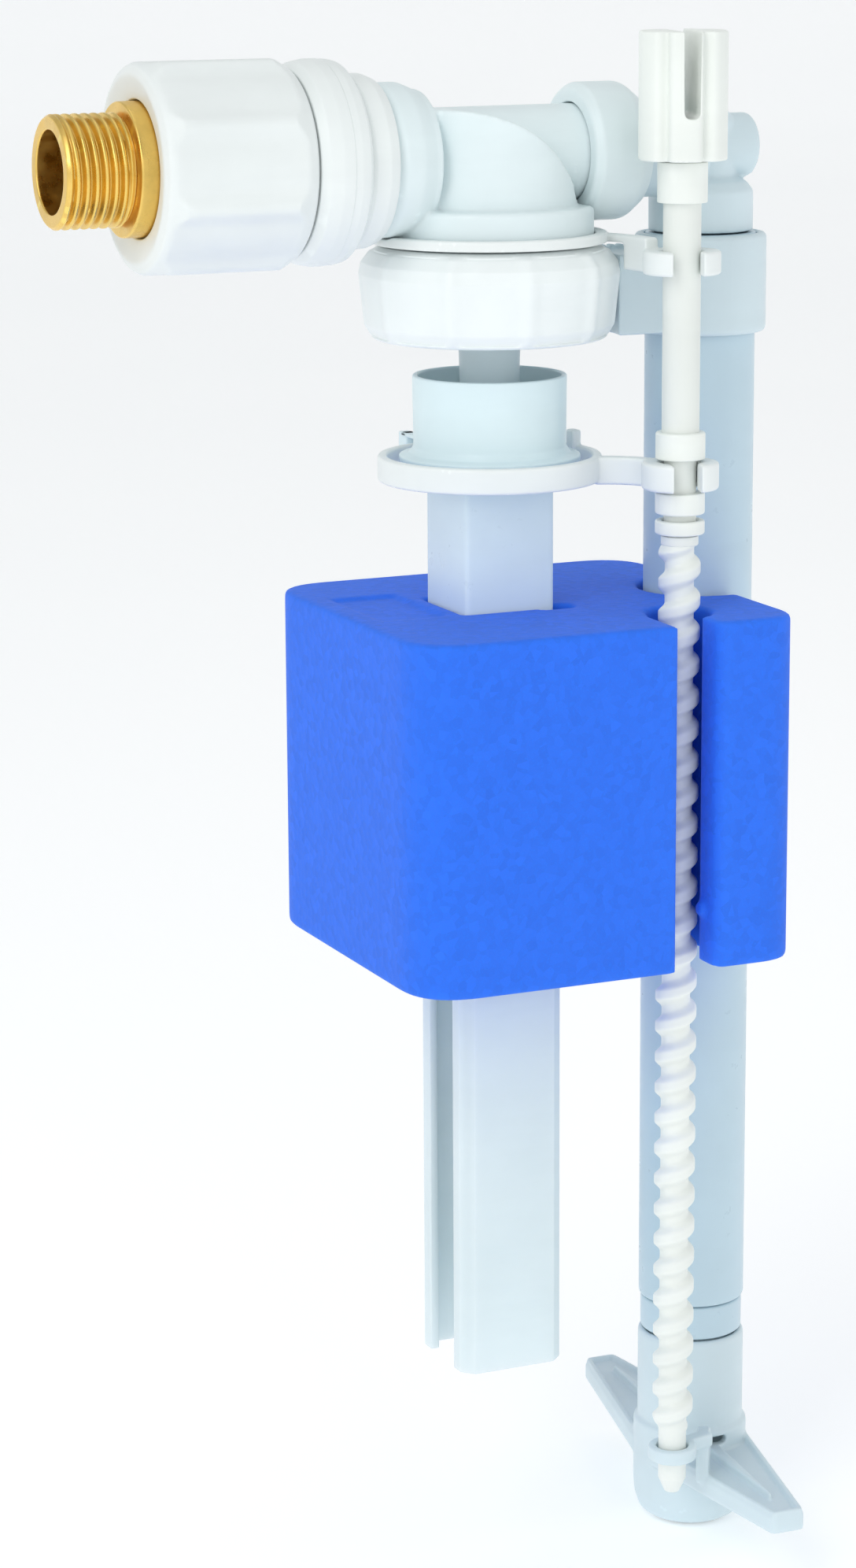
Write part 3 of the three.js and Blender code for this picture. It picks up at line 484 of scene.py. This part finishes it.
WARM_WHITE = plastic("warm_white_plastic", linear(236, 241, 240), 0.4)
COOL_WHITE = plastic("cool_white_plastic", linear(226, 238, 240), 0.38, 0.12)
NUT_WHITE = plastic("union_nut_plastic", linear(240, 246, 246), 0.36)
ICE_BLUE = plastic("pale_blue_plastic", linear(220, 236, 241), 0.36, 0.6, glow_depth=0.006)
COLUMN_BLUE = plastic("column_plastic", linear(224, 240, 245), 0.34, 0.12)
PIPE_BLUE = plastic("pipe_plastic", linear(198, 220, 231), 0.34, 0.12)
CUP_WHITE = plastic("cup_plastic", linear(222, 240, 244), 0.36, 0.12)
BRACKET_BLUE = plastic("bracket_plastic", linear(214, 230, 236), 0.4, 0.12)
CREAM = plastic("spindle_plastic", linear(240, 244, 239), 0.36)
FLOAT_BLUE = foam("blue_foam", linear(40, 112, 243))
BRASS = machined("turned_brass", (0.9, 0.61, 0.17), (0.36, 0.2, 0.04))
BLACK_RUBBER = rubber("black_rubber", linear(44, 44, 46))
GREY_PARTS = inner_parts("grey_inner_parts", linear(186, 191, 195))


# ---------------------------------------------------------------- inlet

def tread(phase, flat, flank):
    """Height from 0 to 1 of a rounded thread ridge, for a phase counted in pitches from its crest."""
    away = abs((phase + 0.5) % 1 - 0.5)
    t = max(0.0, min(1.0, (flat + flank - away) / flank))
    return t * t * (3 - 2 * t)


def inlet_connector():
    box = Span("brass_connector")
    crest, depth, pitch, bore = 20.955 / 2, 1.1, 1.814, 7.66
    start, end = box.x0 + 1.2, box.x0 + 12.4
    flange_r, flange_x = 12.4, box.x0 + 13.4
    tail_x = box.x1 - 3.5

    def shape(r, x, angle):
        if r > 10 and start - 0.4 < x < end:
            fade = min(1.0, max(0.0, (x - start + 0.4) / 0.9)) * min(1.0, max(0.0, (end - x) / 0.9))
            ridge = tread((x - start) / pitch - angle / TURN, 0.08, 0.38)
            r = crest - depth * (1 - ridge) * fade
        return r, x

    profile = rounded([
        (bore, box.x0, 0.4), (crest - 0.5, box.x0, 0.5), (crest, start - 0.5), (crest, end),
        (crest - 0.9, end + 0.1),
        (crest - 0.9, flange_x, 0.2), (flange_r, flange_x, 0.4), (flange_r, tail_x), (box.z1, tail_x, 0.3),
        (box.z1, box.x1, 0.3), (bore, box.x1, 0.3),
    ], 4)
    skinned("brass_connector", "brass", BRASS, turned(stretch(profile, 0.13), "X", INLET, 160, shape),
        crease=50)


def ribs(angle, count, first, power):
    return ((1 + math.cos((angle - first) * count)) / 2) ** power


def ribbed_nut():
    box = Span("coupling_nut")
    mouth, body_r, rib = 12.7, 19.4, 1.25
    first = math.radians(154.25)

    def shape(r, x, angle):
        limit = body_r + rib * ribs(angle, 8, first, 5)
        return (min(r, limit) if r > 17 else r), x

    profile = rounded([
        (mouth, -33.1, 0.3), (mouth, box.x0 + 1, 0.5), (17.2, box.x0, 1.6), (18.9, box.x0 + 0.8, 1.2),
        (20.4, box.x0 + 3.9, 2.6), (20.7, box.x0 + 6, 2), (20.7, box.x1 - 4.8, 1.2),
        (18.3, box.x1 - 0.7, 0.5),
        (17.4, box.x1, 0.3), (14.9, box.x1, 0.4), (14.9, -33.1, 0.3),
    ])
    skinned("coupling_nut", "white_plastic", WARM_WHITE, turned(stretch(profile, 0.8), "X", INLET, 256,
        shape))


def collar_and_washer():
    box = Span("lock_collar")
    inner, outer = 13.4, box.z1
    profile = rounded([
        (inner, box.x0, 0.3), (outer - 1.7, box.x0, 0.5), (outer - 0.5, box.x0 + 1.5, 1.2),
        (outer, box.x0 + 4, 2),
        (outer, box.x0 + 6.1, 0.3), (outer - 0.18, box.x0 + 6.3, 0.2), (outer - 0.1, box.x1 - 2.6, 0.6),
        (outer - 0.5, box.x1 - 0.9, 0.8), (outer - 1.7, box.x1, 0.4), (inner, box.x1, 0.3),
    ])
    skinned("lock_collar", "white_plastic", WARM_WHITE, turned(profile, "X", INLET, 128))
    box = Span("wall_washer")
    outer = box.z1
    profile = rounded([
        (inner, box.x0, 0.3), (outer - 0.5, box.x0, 0.5), (outer, box.x0 + 1.1, 0.8),
        (outer, box.x1 - 2.2, 1.2),
        (outer - 0.9, box.x1, 0.6), (inner, box.x1, 0.3),
    ])
    skinned("wall_washer", "white_plastic", WARM_WHITE, turned(profile, "X", INLET, 128))


# ---------------------------------------------------------------- valve body, cap and elbow

def valve_body():
    box = Span("valve_body")
    cap = Span("outlet_cap")
    tube_z = cap.cz
    roof_r, roof_top, chamber_r, disk_r = 30, 9.6, 17, box.y1
    roof_x, roof_z = VALVE[0] - 14, roof_top - roof_r
    disk_top = -9.2

    def roof(r, z, angle):
        if z > 5:
            x = VALVE[0] + r * math.cos(angle) - roof_x
            z = roof_top if x <= 0 else roof_z + math.sqrt(max(0.0, roof_r ** 2 - x * x))
        return r, z

    chamber_profile = [(0, disk_top - 2), (chamber_r, disk_top - 2), (chamber_r, -2), (chamber_r, 9)]
    chamber_profile += [(chamber_r * (1 - k / 14), 9) for k in range(1, 15)]
    chamber = turned(chamber_profile, "Z", VALVE, 128, roof)
    shank = drum(13.1, box.x0, 16, INLET, 0.6, "X")
    flange = turned(rounded([
        (0, 6.4), (13.6, 6.4, 0.5), (14.5, 8, 1.2), (14.5, 11.4, 1.6), (13.2, 14.6, 1.2), (0, 14.6),
    ]), "X", INLET, 128)
    neck = drum(9.2, VALVE[0] - 14, box.x1, (0, tube_z), 0.6, "X")
    disk = turned(rounded([
        (0, -16), (disk_r - 0.8, -16, 0.4), (disk_r, -15.2, 0.4), (disk_r, disk_top - 0.5, 0.5),
        (disk_r - 0.6, disk_top, 0.5), (0, disk_top),
    ]), "Z", VALVE, 128)
    spigot = drum(14, box.z0, -15, VALVE)
    cap_room = drum(cap.z1 - cap.cz + 0.3, cap.x0 - 0.3, cap.x1 + 4, (0, tube_z), 0, "X")
    cuts = [cap_room, drum(7, box.x0 - 2, 14, INLET, 0, "X")]
    moulded("valve_body", COOL_WHITE, [shank, flange, chamber, disk, spigot], cuts, [neck],
        0.42, 6)


def outlet():
    box = Span("outlet_cap")
    outer = box.z1 - box.cz
    at = (0, box.cz)
    profile = rounded([
        (9.5, box.x0, 0.3), (outer - 1.2, box.x0, 1.2), (outer, box.x0 + 1.4, 1.6),
        (outer, box.x1 - 3.2, 3.2),
        (outer - 2.4, box.x1, 2.0), (9.5, box.x1, 0.3),
    ], 8)
    skinned("outlet_cap", "pale_plastic", COOL_WHITE, turned(profile, "X", at, 160))

    box = Span("outlet_elbow")
    lower_r = box.y1
    column = turned(rounded([
        (0, box.z0), (lower_r, box.z0, 0.3), (lower_r, -8, 1.4), (lower_r - 1.4, -6.2, 1.6), (6.6, -5.4, 0.8),
        (6.6, 5.4, 1.6), (5, 7.4, 1.2), (0, 8),
    ]), "Z", PIPE, 128)
    barrel = drum(9.2, box.x0, PIPE[0] - 2, at, 1.5, "X")
    shoulder = drum(9.4, PIPE[0] - 9, PIPE[0] - 2, (0, -1.2), 3, "X")
    boss = drum(6.2, PIPE[0], box.x1 - 0.3, (0, PLUG_Z), 0.8, "X")
    moulded("outlet_elbow", BRACKET_BLUE, [column, barrel, shoulder, boss],
            [drum(3.6, PIPE[0] - 1, box.x1 + 2, (0, PLUG_Z), 0, "X")], voxel=0.38)

    box = Span("elbow_plug")
    face = drum(5.6, box.x1 - 3.2, box.x1 - 2.3, (0, PLUG_Z), 0.3, "X")
    shaft = drum(3.3, box.x0, box.x1 - 2.6, (0, PLUG_Z), 0.3, "X")
    blade = bar(box.x1 - 3, box.x1, -2.6, 0.4, box.z0 + 0.1, PLUG_Z + 4.5, 0.5, 0.5)
    skinned("elbow_plug", "pale_plastic", BRACKET_BLUE, face, shaft, blade)


# ---------------------------------------------------------------- union nut, stem and cup

def union_nut():
    box = Span("union_nut")
    top_r, foot_r = box.y1 + 0.2, 23.9

    def shape(r, z, angle):
        if r > 22.6:
            r = r - 0.5 + 0.62 * ribs(angle, 10, 0.2, 8)
        return r, z

    profile = rounded([
        (16, box.z0, 0.4), (foot_r - 1.6, box.z0, 1.6), (foot_r, box.z0 + 2.6, 2.2),
        (top_r, box.z1 - 5.4, 1.4),
        (top_r - 0.4, box.z1 - 3.2, 0.8), (top_r - 2, box.z1 - 1.1, 1.2), (20.8, box.z1, 0.6),
        (16, box.z1, 0.3),
        (16, box.z1 - 2.2), (21.2, box.z1 - 2.2), (21.2, box.z0 + 2), (16, box.z0 + 2),
    ])
    skinned("union_nut", "white_plastic", NUT_WHITE, turned(stretch(profile, 0.9), "Z", VALVE, 240, shape))


def stem_and_cup():
    box = Span("pilot_bonnet")
    stem_r = 5.95
    plate = turned(rounded([
        (1.9, -27.5, 0.2), (19, -27.5, 0.2), (19, -31.5, 0.3), (20.9, -31.5, 0.3), (20.9, box.z1, 0.3),
        (1.9, box.z1, 0.2),
    ]), "Z", VALVE, 96)
    stem = turned(rounded([
        (1.9, box.z0, 0.3), (stem_r - 0.4, box.z0, 0.5), (stem_r - 0.25, -44, 0.5), (stem_r, -36, 2),
        (stem_r, -32.6, 2),
        (stem_r + 1.6, -27.4, 1.6), (1.9, -27.4, 0.2),
    ]), "Z", VALVE, 96)
    skinned("pilot_bonnet", "grey_blue_plastic", COLUMN_BLUE, plate, stem)

    box = Span("pilot_cup")
    rim, wall, floor, foot, flange_r = 14.9, 1.1, -56.3, -58.2, 17.6
    cup = turned(rounded([
        (1.9, foot, 0.2), (flange_r - 0.2, foot, 0.4), (flange_r, floor - 0.5, 0.5),
        (rim + 0.7, floor - 0.1, 0.9),
        (rim - 0.15, floor + 1.2, 1.0), (rim, box.z1, 0.45), (rim - wall, box.z1, 0.45),
        (rim - wall - 0.1, floor + 0.6, 0.8),
        (1.9, floor, 0.2),
    ], 6), "Z", VALVE, 128)
    socket = tube(6.3, 7.5, floor - 0.4, floor + 5, VALVE, 0.35)
    half = 1.2
    ear_x = [VALVE[0] + side * 6.6 for side in (-1, 1)]
    ears = [bar(x - half, x + half, 22.4, 26.4, box.z0, foot + 3, 0.6) for x in ear_x]
    lugs = [bar(x - half, x + half, 14, 25, foot + 2.2, foot + 3, 0.4) for x in ear_x]
    skinned("pilot_cup", "grey_blue_plastic", CUP_WHITE, cup, socket, *ears, *lugs)


# ---------------------------------------------------------------- lever ring and steadying arm

def jaw_cuts(width, angle, low, high):
    """Mouth that a spindle snaps in through, as a slab that runs out from the spindle's axis."""
    matrix = Matrix.Translation((ROD[0], ROD[1], 0)) @ Matrix.Rotation(math.radians(angle), 4, "Z")
    return placed(prism(rectangle(0, 12, -width / 2, width / 2, 0.1, 2), low, high, 0), matrix)


def lever_ring():
    box = Span("ring_lever")
    inner, outer, top, low = 19.8, 21.7, -56.8, -61.8
    hoop = tube(inner, outer, low, top, VALVE, 0.6, sides=160)
    lug = bar(VALVE[0] - 4.8, VALVE[0] + 4.8, inner + 0.5, box.y1, -61.3, -57.3, 1)
    finger = bar(VALVE[0] - 2, VALVE[0] + 2, -2.6, inner + 1, box.z0, -60.2, 0.8)
    tab = bar(VALVE[0] + 18.9, VALVE[0] + 20.9, 2.4, 5.4, top - 1, box.z1, 0.4)
    path = smooth_path([(VALVE[0] + 16.2, -12.5), (VALVE[0] + 22.4, -14.2), (ROD[0] - 3.6, ROD[1] + 5.2)], 14)
    arm = ribbon(path, [2.7] * len(path), box.z0, top, 0.5)
    fork = tube(3.7, 7.4, box.z0, -56.9, ROD, 0.7, sides=96)
    cuts = [jaw_cuts(5.4, -104, -70, -50), drum(3.7, -66, -50, ROD, 0)]
    cuts.append(placed(drum(1.5, -15, 15, (0, 0), 0, "X", 32), Matrix.Translation((VALVE[0], 24, -59.3))))
    moulded("ring_lever", WARM_WHITE, [arm, fork, hoop, lug, finger, tab], cuts,
        voxel=0.24, soften=4)


def steady_arm():
    box = Span("guide_bracket")
    plate_top, low = box.z1, box.z0
    plate = tube(20.3, box.y1, -16.2, plate_top, VALVE, 0.35, sides=160)
    path = smooth_path([(VALVE[0] + 20.6, -5.2), (VALVE[0] + 24.4, -12.8), (ROD[0] - 3.8, ROD[1] + 5)], 14)
    arm = ribbon(path, [2.8] * len(path), low, plate_top - 0.6, 0.5)
    ring = tube(4, 7.4, low, -16.9, ROD, 0.6, sides=96)
    union = Span("union_nut")
    room = turned([(1, -40), (union.y1 + 1, -40), (union.y1 + 1, union.z1 + 0.3), (1, union.z1 + 0.3)], "Z",
        VALVE, 96)
    flange = drum(14.8, -2, 14.9, INLET, 0, "X")
    cuts = [room, flange, jaw_cuts(5.8, -106, -26, -10), drum(4, -26, -10, ROD, 0)]
    moulded("guide_bracket", WARM_WHITE, [plate, arm, ring], cuts, voxel=0.26, soften=4)


# ---------------------------------------------------------------- columns

def square(half, corner):
    return rectangle(VALVE[0] - half, VALVE[0] + half, VALVE[1] - half, VALVE[1] + half, corner, 6)


def columns():
    box = Span("guide_column")
    channel = Span("channel_column")
    half = box.x1 - VALVE[0]
    upper = prism(square(half, 1.1), channel.z1 + 0.3, box.z1, 0.35)
    spigot = prism(square(8.8, 0.6), box.z0, channel.z1 + 1, 0.3)
    skinned("guide_column", "grey_blue_plastic", COLUMN_BLUE, upper, spigot)

    h, c, wall, slot = channel.x1 - VALVE[0], 2.4, 1.9, 5.5
    x, i = VALVE[0], h - wall
    outline = rounded([
        (x - h + c, -h, 0.5), (x + h - c, -h, 0.5), (x + h, -h + c, 0.5), (x + h, h - c, 0.5),
        (x + h - c, h, 0.5),
        (x - h + c, h, 0.5), (x - h, h - c, 0.5), (x - h, slot, 0.4), (x - i, slot, 0.4), (x - i, i, 0.6),
        (x + i, i, 0.6), (x + i, -i, 0.6), (x - i, -i, 0.6), (x - i, -slot, 0.4), (x - h, -slot, 0.4),
        (x - h, -h + c, 0.5),
    ], 4)
    wall_skin = prism(outline, channel.z0, channel.z1, 0.3)
    bridge = bar(x - h, x - i, -slot - 0.4, slot + 0.4, channel.z1 - 6, channel.z1, 0.1, 0.3)
    skinned("channel_column", "grey_blue_plastic", ICE_BLUE, wall_skin, bridge)


# ---------------------------------------------------------------- discharge pipe, bracket and foot

def bracket():
    box = Span("pipe_bracket")
    outer = box.y1
    union = Span("union_nut")
    sleeve = drum(outer, box.z0, box.z1, PIPE, 1.2, sides=128)
    web = bar(VALVE[0] + 20, PIPE[0] - 6, -7, 7, box.z0 + 0.6, box.z1 - 3.2, 1)
    teeth = [bar(x, x + 1.2, 4.6, 7, box.z1 - 4, box.z1 - 2.2, 0.4)
             for x in (VALVE[0] + 24.4, VALVE[0] + 26.3, VALVE[0] + 28.2, VALVE[0] + 30.1)]
    cuts = [drum(union.y1 + 0.5, box.z0 - 2, 0, VALVE, 0, sides=160), drum(11.1, box.z0 - 2, 0, PIPE, 0)]
    moulded("pipe_bracket", BRACKET_BLUE, [sleeve, web, *teeth], cuts, voxel=0.3, soften=4)


def pipe():
    box = Span("discharge_pipe")
    outer = box.x1 - PIPE[0]
    profile = rounded([(9.2, box.z0, 0.3), (outer, box.z0, 1.1), (outer, box.z1, 0.3), (9.2, box.z1, 0.3)])
    skinned("discharge_pipe", "grey_blue_plastic", PIPE_BLUE, turned(stretch(profile, 12), "Z", PIPE, 128))
    box = Span("pipe_spigot")
    top, low = Span("discharge_pipe").z0 - 0.3, Span("pipe_foot").z1 + 0.3
    band = rounded([
        (7.6, box.z0, 0.3), (8.9, box.z0, 0.3), (8.9, low), (10.4, low, 0.8), (10.4, top, 0.8), (8.9, top),
        (8.9, box.z1, 0.3), (7.6, box.z1, 0.3),
    ])
    skinned("pipe_spigot", "grey_blue_plastic", PIPE_BLUE, turned(band, "Z", PIPE, 128))


def foot():
    box = Span("pipe_foot")
    shoe_r, sleeve_r = 11.7, 10.9
    wing_top, wing_low, reach, tip = -266, -269.8, 46.3, 3.6
    lip = -261.3
    sleeve = drum(sleeve_r, lip - 2, box.z1, PIPE, 1.0, sides=128)
    shoe = turned(rounded([
        (0, box.z0), (shoe_r - 3.4, box.z0, 1.2), (shoe_r - 1.2, box.z0 + 1.4, 1.4),
        (shoe_r - 0.2, box.z0 + 4.6, 2),
        (shoe_r, box.z0 + 8, 2), (shoe_r, lip - 0.6, 0.5), (shoe_r - 0.5, lip, 0.4), (0, lip),
    ]), "Z", PIPE, 128)
    turn = Matrix.Translation((PIPE[0], PIPE[1], 0)) @ Matrix.Rotation(math.radians(-2.5), 4, "Z")
    root = shoe_r - 0.4
    plate = prism(rounded([
        (-tip, -reach, 1.4), (tip, -reach, 1.4), (root, -4), (root, 4), (tip, reach, 1.4), (-tip, reach, 1.4),
        (-root, 4), (-root, -4),
    ]), wing_low, wing_top, 0.5)
    wings = [placed(plate, turn)]
    for side in (-1, 1):
        for edge in (-1, 1):
            path = [(edge * (root - 1.2), side * 5), (edge * (tip - 0.7), side * (reach - 1))]
            wings.append(placed(ribbon(path, [1.1, 1.1], wing_top - 1, wing_top + 0.9, 0.3), turn))
        wings.append(placed(ribbon([(-tip + 0.4, side * (reach - 0.7)), (tip - 0.4, side * (reach - 0.7))],
                                   [1.1, 1.1], wing_top - 1, wing_top + 0.9, 0.3), turn))
        wings.append(placed(ribbon([(0, side * 8), (0, side * (reach - 8))], [3.2, 0.6], wing_top - 1,
            wing_top + 1.5, 0.3), turn))
    eye = tube(3.2, 4.9, -259.1, -256.2, ROD, 0.4)
    edge_x = PIPE[0] - 9.2
    arm = ribbon([(ROD[0] + 3.4, ROD[1] + 1.6), (edge_x + 2, ROD[1] + 3)], [3, 3], -259.1, -256.2, 0.4)
    post = ribbon([(edge_x, ROD[1] + 2), (edge_x + 2.6, ROD[1] + 6)], [2.6, 2.6], wing_top - 1, -256.2, 0.4)
    cuts = [drum(9.6, box.z0 + 4, box.z1 + 1, PIPE, 0), drum(7, box.z0 - 1, box.z0 + 6, PIPE, 0),
        drum(3.2, -270, -250, ROD, 0)]
    cuts.append(bar(PIPE[0] - 2.6, PIPE[0] + 2.6, -14, -6, wing_top + 1.6, wing_top + 3.4, 0.3, 0))
    solids = [sleeve, shoe, *wings, eye, arm, post]
    moulded("pipe_foot", BRACKET_BLUE, solids, cuts, voxel=0.34, soften=4)


# ---------------------------------------------------------------- spindle

def spindle_head():
    box = Span("spindle_head")
    radius, slot_low = 8.5, box.z1 - 16
    first = math.radians(-83)

    def shape(r, z, angle):
        if r > 6:
            r -= 1.6 * ribs(angle, 6, first, 7)
        return r, z

    profile = stretch(rounded([(0, box.z0), (radius, box.z0, 0.4), (radius, box.z1, 0.5), (0, box.z1)]), 2)
    body = turned(profile, "Z", ROD, 192, shape)
    slot = prism(rounded([(-1.5, slot_low, 1.4), (1.5, slot_low, 1.4), (1.7, box.z1 + 2),
        (-1.7, box.z1 + 2)], 8), -13, 13, 0)
    matrix = Matrix.Translation((ROD[0], ROD[1], 0)) @ Matrix.Rotation(math.radians(-15), 4, "Z")
    matrix @= Matrix(((1, 0, 0, 0), (0, 0, 1, 0), (0, 1, 0, 0), (0, 0, 0, 1)))
    socket = drum(3.9, box.z0 - 1, slot_low - 1.6, ROD, 0)
    moulded("spindle_head", CREAM, [body], [placed(slot, matrix), socket], voxel=0.2,
        soften=3)


def spindle():
    box = Span("spindle")
    neck, rod, collar = 3.1, 3.6, 4.75
    pitch, root, crest, low, high = 6.3, 2.8, 4.05, -253.2, -74.6

    def thread(r, z, angle):
        if low - 1 < z < high + 3.4 and r > 2.5:
            fade = min(1.0, max(0.0, (z - low) / 3)) * min(1.0, max(0.0, (high + 3.4 - z) / 3))
            r = root + (crest - root) * fade * tread((z - low) / pitch - angle / TURN, 0.12, 0.27)
        return r, z

    tip = [(0, box.z0), (1.5, box.z0, 0.4), (root, box.z0 + 3, 0.6), (root, low)]
    count = 520
    column = [(root, low + (high + 3 - low) * k / count) for k in range(1, count + 1)]
    screw = turned(rounded(tip) + column + [(0, high + 3)], "Z", ROD, 48, thread)
    upper = turned(rounded([
        (0, high + 1.6), (rod, high + 1.6, 0.4), (rod, -71.1, 0.2), (neck, -71.1), (neck, -66.9),
        (collar, -66.9, 0.5),
        (collar, -62.8, 0.4), (neck, -62.8), (neck, -56.4), (collar, -56.4, 0.4), (collar, -51.2, 0.7),
        (rod, -51.2),
        (rod, -8), (collar, -8, 0.3), (collar, -0.4, 0.3), (rod, -0.4), (rod, box.z1, 0.3), (0, box.z1),
    ]), "Z", ROD, 96)
    skinned("spindle", "cream_plastic", CREAM, screw, upper)
    box = Span("stop_ring")
    skinned("stop_ring", "cream_plastic", CREAM, tube(3.4, collar, box.z0, box.z1, ROD, 0.5))


# ---------------------------------------------------------------- float

def float_block():
    box = Span("float_block")
    slot_left, slot_right = VALVE[0] + 21.2, VALVE[0] + 30
    column_half, channel_half, lid, notch, slot_corner = 10, 11.66, 4, 12, 2.8
    low, high = box.z0 - 1, box.z1 + 1
    outline = rounded([(box.x0, box.y0, 12), (box.x1, box.y0, 8), (box.x1, box.y1, 12),
        (box.x0, box.y1, 12)], 12)
    block = prism(outline, box.z0, box.z1, 0.9, 4)
    cuts = [
        drum(6.4, low, high, ROD, 0, sides=64),
        bar(slot_left, slot_right, box.y0 - 2, ROD[1], low, high, 0.01, 0),
        prism(square(column_half, 1.2), low, high, 0),
        prism(square(channel_half, 1.2), low, box.z1 - lid, 0),
        drum(notch, low, high, PIPE, 0, sides=96),
        bar(PIPE[0], box.x1 + 2, -notch, notch, low, high, 0.01, 0),
        prism(rectangle(box.x0 + 5, VALVE[0] - 13, -9, 17, 1.5), box.z1 - 0.7, high, 0),
    ]
    for y in (-9.4, 9.4):
        cuts.append(bar(VALVE[0] + 6, VALVE[0] + 13, y - 2, y + 2, box.z1 - 5, high, 0.3, 0))
    round_x, round_y = slot_right + slot_corner, box.y0 + slot_corner
    hollow = [(slot_right - 1, box.y0 - 2), (round_x, box.y0 - 2)]
    for step in range(13):
        angle = -math.pi / 2 - step * math.pi / 24
        hollow.append((round_x + slot_corner * math.cos(angle), round_y + slot_corner * math.sin(angle)))
    hollow.append((slot_right - 1, round_y))
    cuts.append(prism(hollow, low, high, 0))
    peg = drum(1.4, slot_right - 1.2, slot_right + 3, (-32.9, -143.2), 0.4, "X", 32)
    moulded("float_block", FLOAT_BLUE, [block], cuts, [peg], voxel=0.6, soften=4)


# ---------------------------------------------------------------- pieces that keep their CAD shape

def keep(node, material, width=0.15):
    piece = frame["nodes"][node]
    piece.data.materials.clear()
    piece.data.materials.append(material)
    for slot in piece.material_slots:
        slot.material = material
    bevel = piece.modifiers.new("edge", "BEVEL")
    bevel.width = width * MM
    bevel.segments = 2
    bevel.limit_method = "ANGLE"
    bevel.angle_limit = math.radians(40)


KEPT = {
    "connector_gasket": BLACK_RUBBER, "outlet_seal": BLACK_RUBBER, "bonnet_gasket": BLACK_RUBBER,
    "diaphragm": BLACK_RUBBER, "inlet_strainer": GREY_PARTS, "seat_ring": GREY_PARTS, "pilot_pin": GREY_PARTS,
    "lever_pin": GREY_PARTS, "clamp_ring": COLUMN_BLUE, "diaphragm_plate": COLUMN_BLUE,
    "flow_restrictor": COLUMN_BLUE,
    "float_nut": FLOAT_BLUE,
}


# ---------------------------------------------------------------- stage, light and camera

def stage():
    """Round pale floor whose far edge curves up, so that low views have the same plain ground behind."""
    sides, z = 96, cad_low.z - 0.0005
    rings = [(5, 0), (6.2, 0.25), (7.1, 0.9), (7.6, 1.9), (7.8, 3.2)]
    verts = [(0, 0, z)]
    for radius, rise in rings:
        for k in range(sides):
            angle = TURN * k / sides
            verts.append((radius * math.cos(angle), radius * math.sin(angle), z + rise))
    faces = [(0, 1 + k, 1 + (k + 1) % sides) for k in range(sides)]
    for ring in range(len(rings) - 1):
        first = 1 + ring * sides
        for k in range(sides):
            after = (k + 1) % sides
            faces.append((first + k, first + sides + k, first + sides + after, first + after))
    mesh = bpy.data.meshes.new("floor")
    mesh.from_pydata(verts, [], faces)
    mesh.shade_smooth()
    floor = bpy.data.objects.new("floor", mesh)
    bpy.context.scene.collection.objects.link(floor)
    look = Look("pale_floor")
    look.colour(look.mixed(look.noise(3, 2), (0.93, 0.94, 0.95), (0.96, 0.965, 0.97)))
    look.set(Roughness=0.9, Specular_IOR_Level=0.1, Emission_Color=(1, 1, 1, 1), Emission_Strength=0.27)
    mesh.materials.append(look.material)

    world = bpy.data.worlds.new("studio")
    bpy.context.scene.world = world
    world.use_nodes = True
    world.node_tree.nodes["Background"].inputs["Color"].default_value = (0.965, 0.99, 1.0, 1)
    world.node_tree.nodes["Background"].inputs["Strength"].default_value = 0.6


def lamp(name, spot, aim, size, power, tint=(1, 1, 1)):
    light = bpy.data.lights.new(name, "AREA")
    light.shape = "RECTANGLE"
    light.size, light.size_y = size
    light.energy = power
    light.color = tint
    lamp_object = bpy.data.objects.new(name, light)
    lamp_object.location = spot
    lamp_object.rotation_euler = (Vector(aim) - Vector(spot)).to_track_quat("-Z", "Y").to_euler()
    bpy.context.scene.collection.objects.link(lamp_object)


def lights():
    lamp("key", (-0.75, -0.55, 0.65), (0.03, 0, -0.1), (0.45, 0.9), 3.4, (1, 0.995, 0.98))
    lamp("front", (-0.1, -1.1, 0.25), (0.03, 0, -0.12), (0.2, 0.8), 0.6)
    lamp("fill", (0.9, -0.5, 0.1), (0.03, 0, -0.12), (0.6, 0.9), 0.35, (0.94, 0.97, 1))
    lamp("top", (0.1, 0.2, 0.9), (0.03, 0, -0.1), (0.7, 0.7), 0.7)


EYE = (-0.292411, -0.697476, 0.053395)
LENS = 92.05
SENSOR = 36


def camera():
    azimuth, elevation, roll = math.radians(-23.96030214), math.radians(12.86754589), -0.006
    back = Vector((math.sin(azimuth) * math.cos(elevation), -math.cos(azimuth) * math.cos(elevation),
        math.sin(elevation)))
    right = (-back).cross(Vector((0, 0, 1))).normalized()
    up = back.cross(right)
    side = right * math.cos(roll) + up * math.sin(roll)
    top = up * math.cos(roll) - right * math.sin(roll)
    data = bpy.data.cameras.new("camera")
    data.lens = LENS
    data.sensor_width = SENSOR
    data.clip_start = 0.01
    data.clip_end = 200
    eye = bpy.data.objects.new("camera", data)
    matrix = Matrix((side, top, back)).transposed().to_4x4()
    matrix.translation = EYE
    eye.matrix_world = matrix
    bpy.context.scene.collection.objects.link(eye)
    bpy.context.scene.camera = eye


camera()
lights()
stage()
inlet_connector()
ribbed_nut()
collar_and_washer()
valve_body()
outlet()
union_nut()
stem_and_cup()
lever_ring()
steady_arm()
columns()
bracket()
pipe()
foot()
spindle_head()
spindle()
float_block()
for kept_node, kept_material in KEPT.items():
    keep(kept_node, kept_material)

bpy.context.scene.view_settings.view_transform = "Standard"
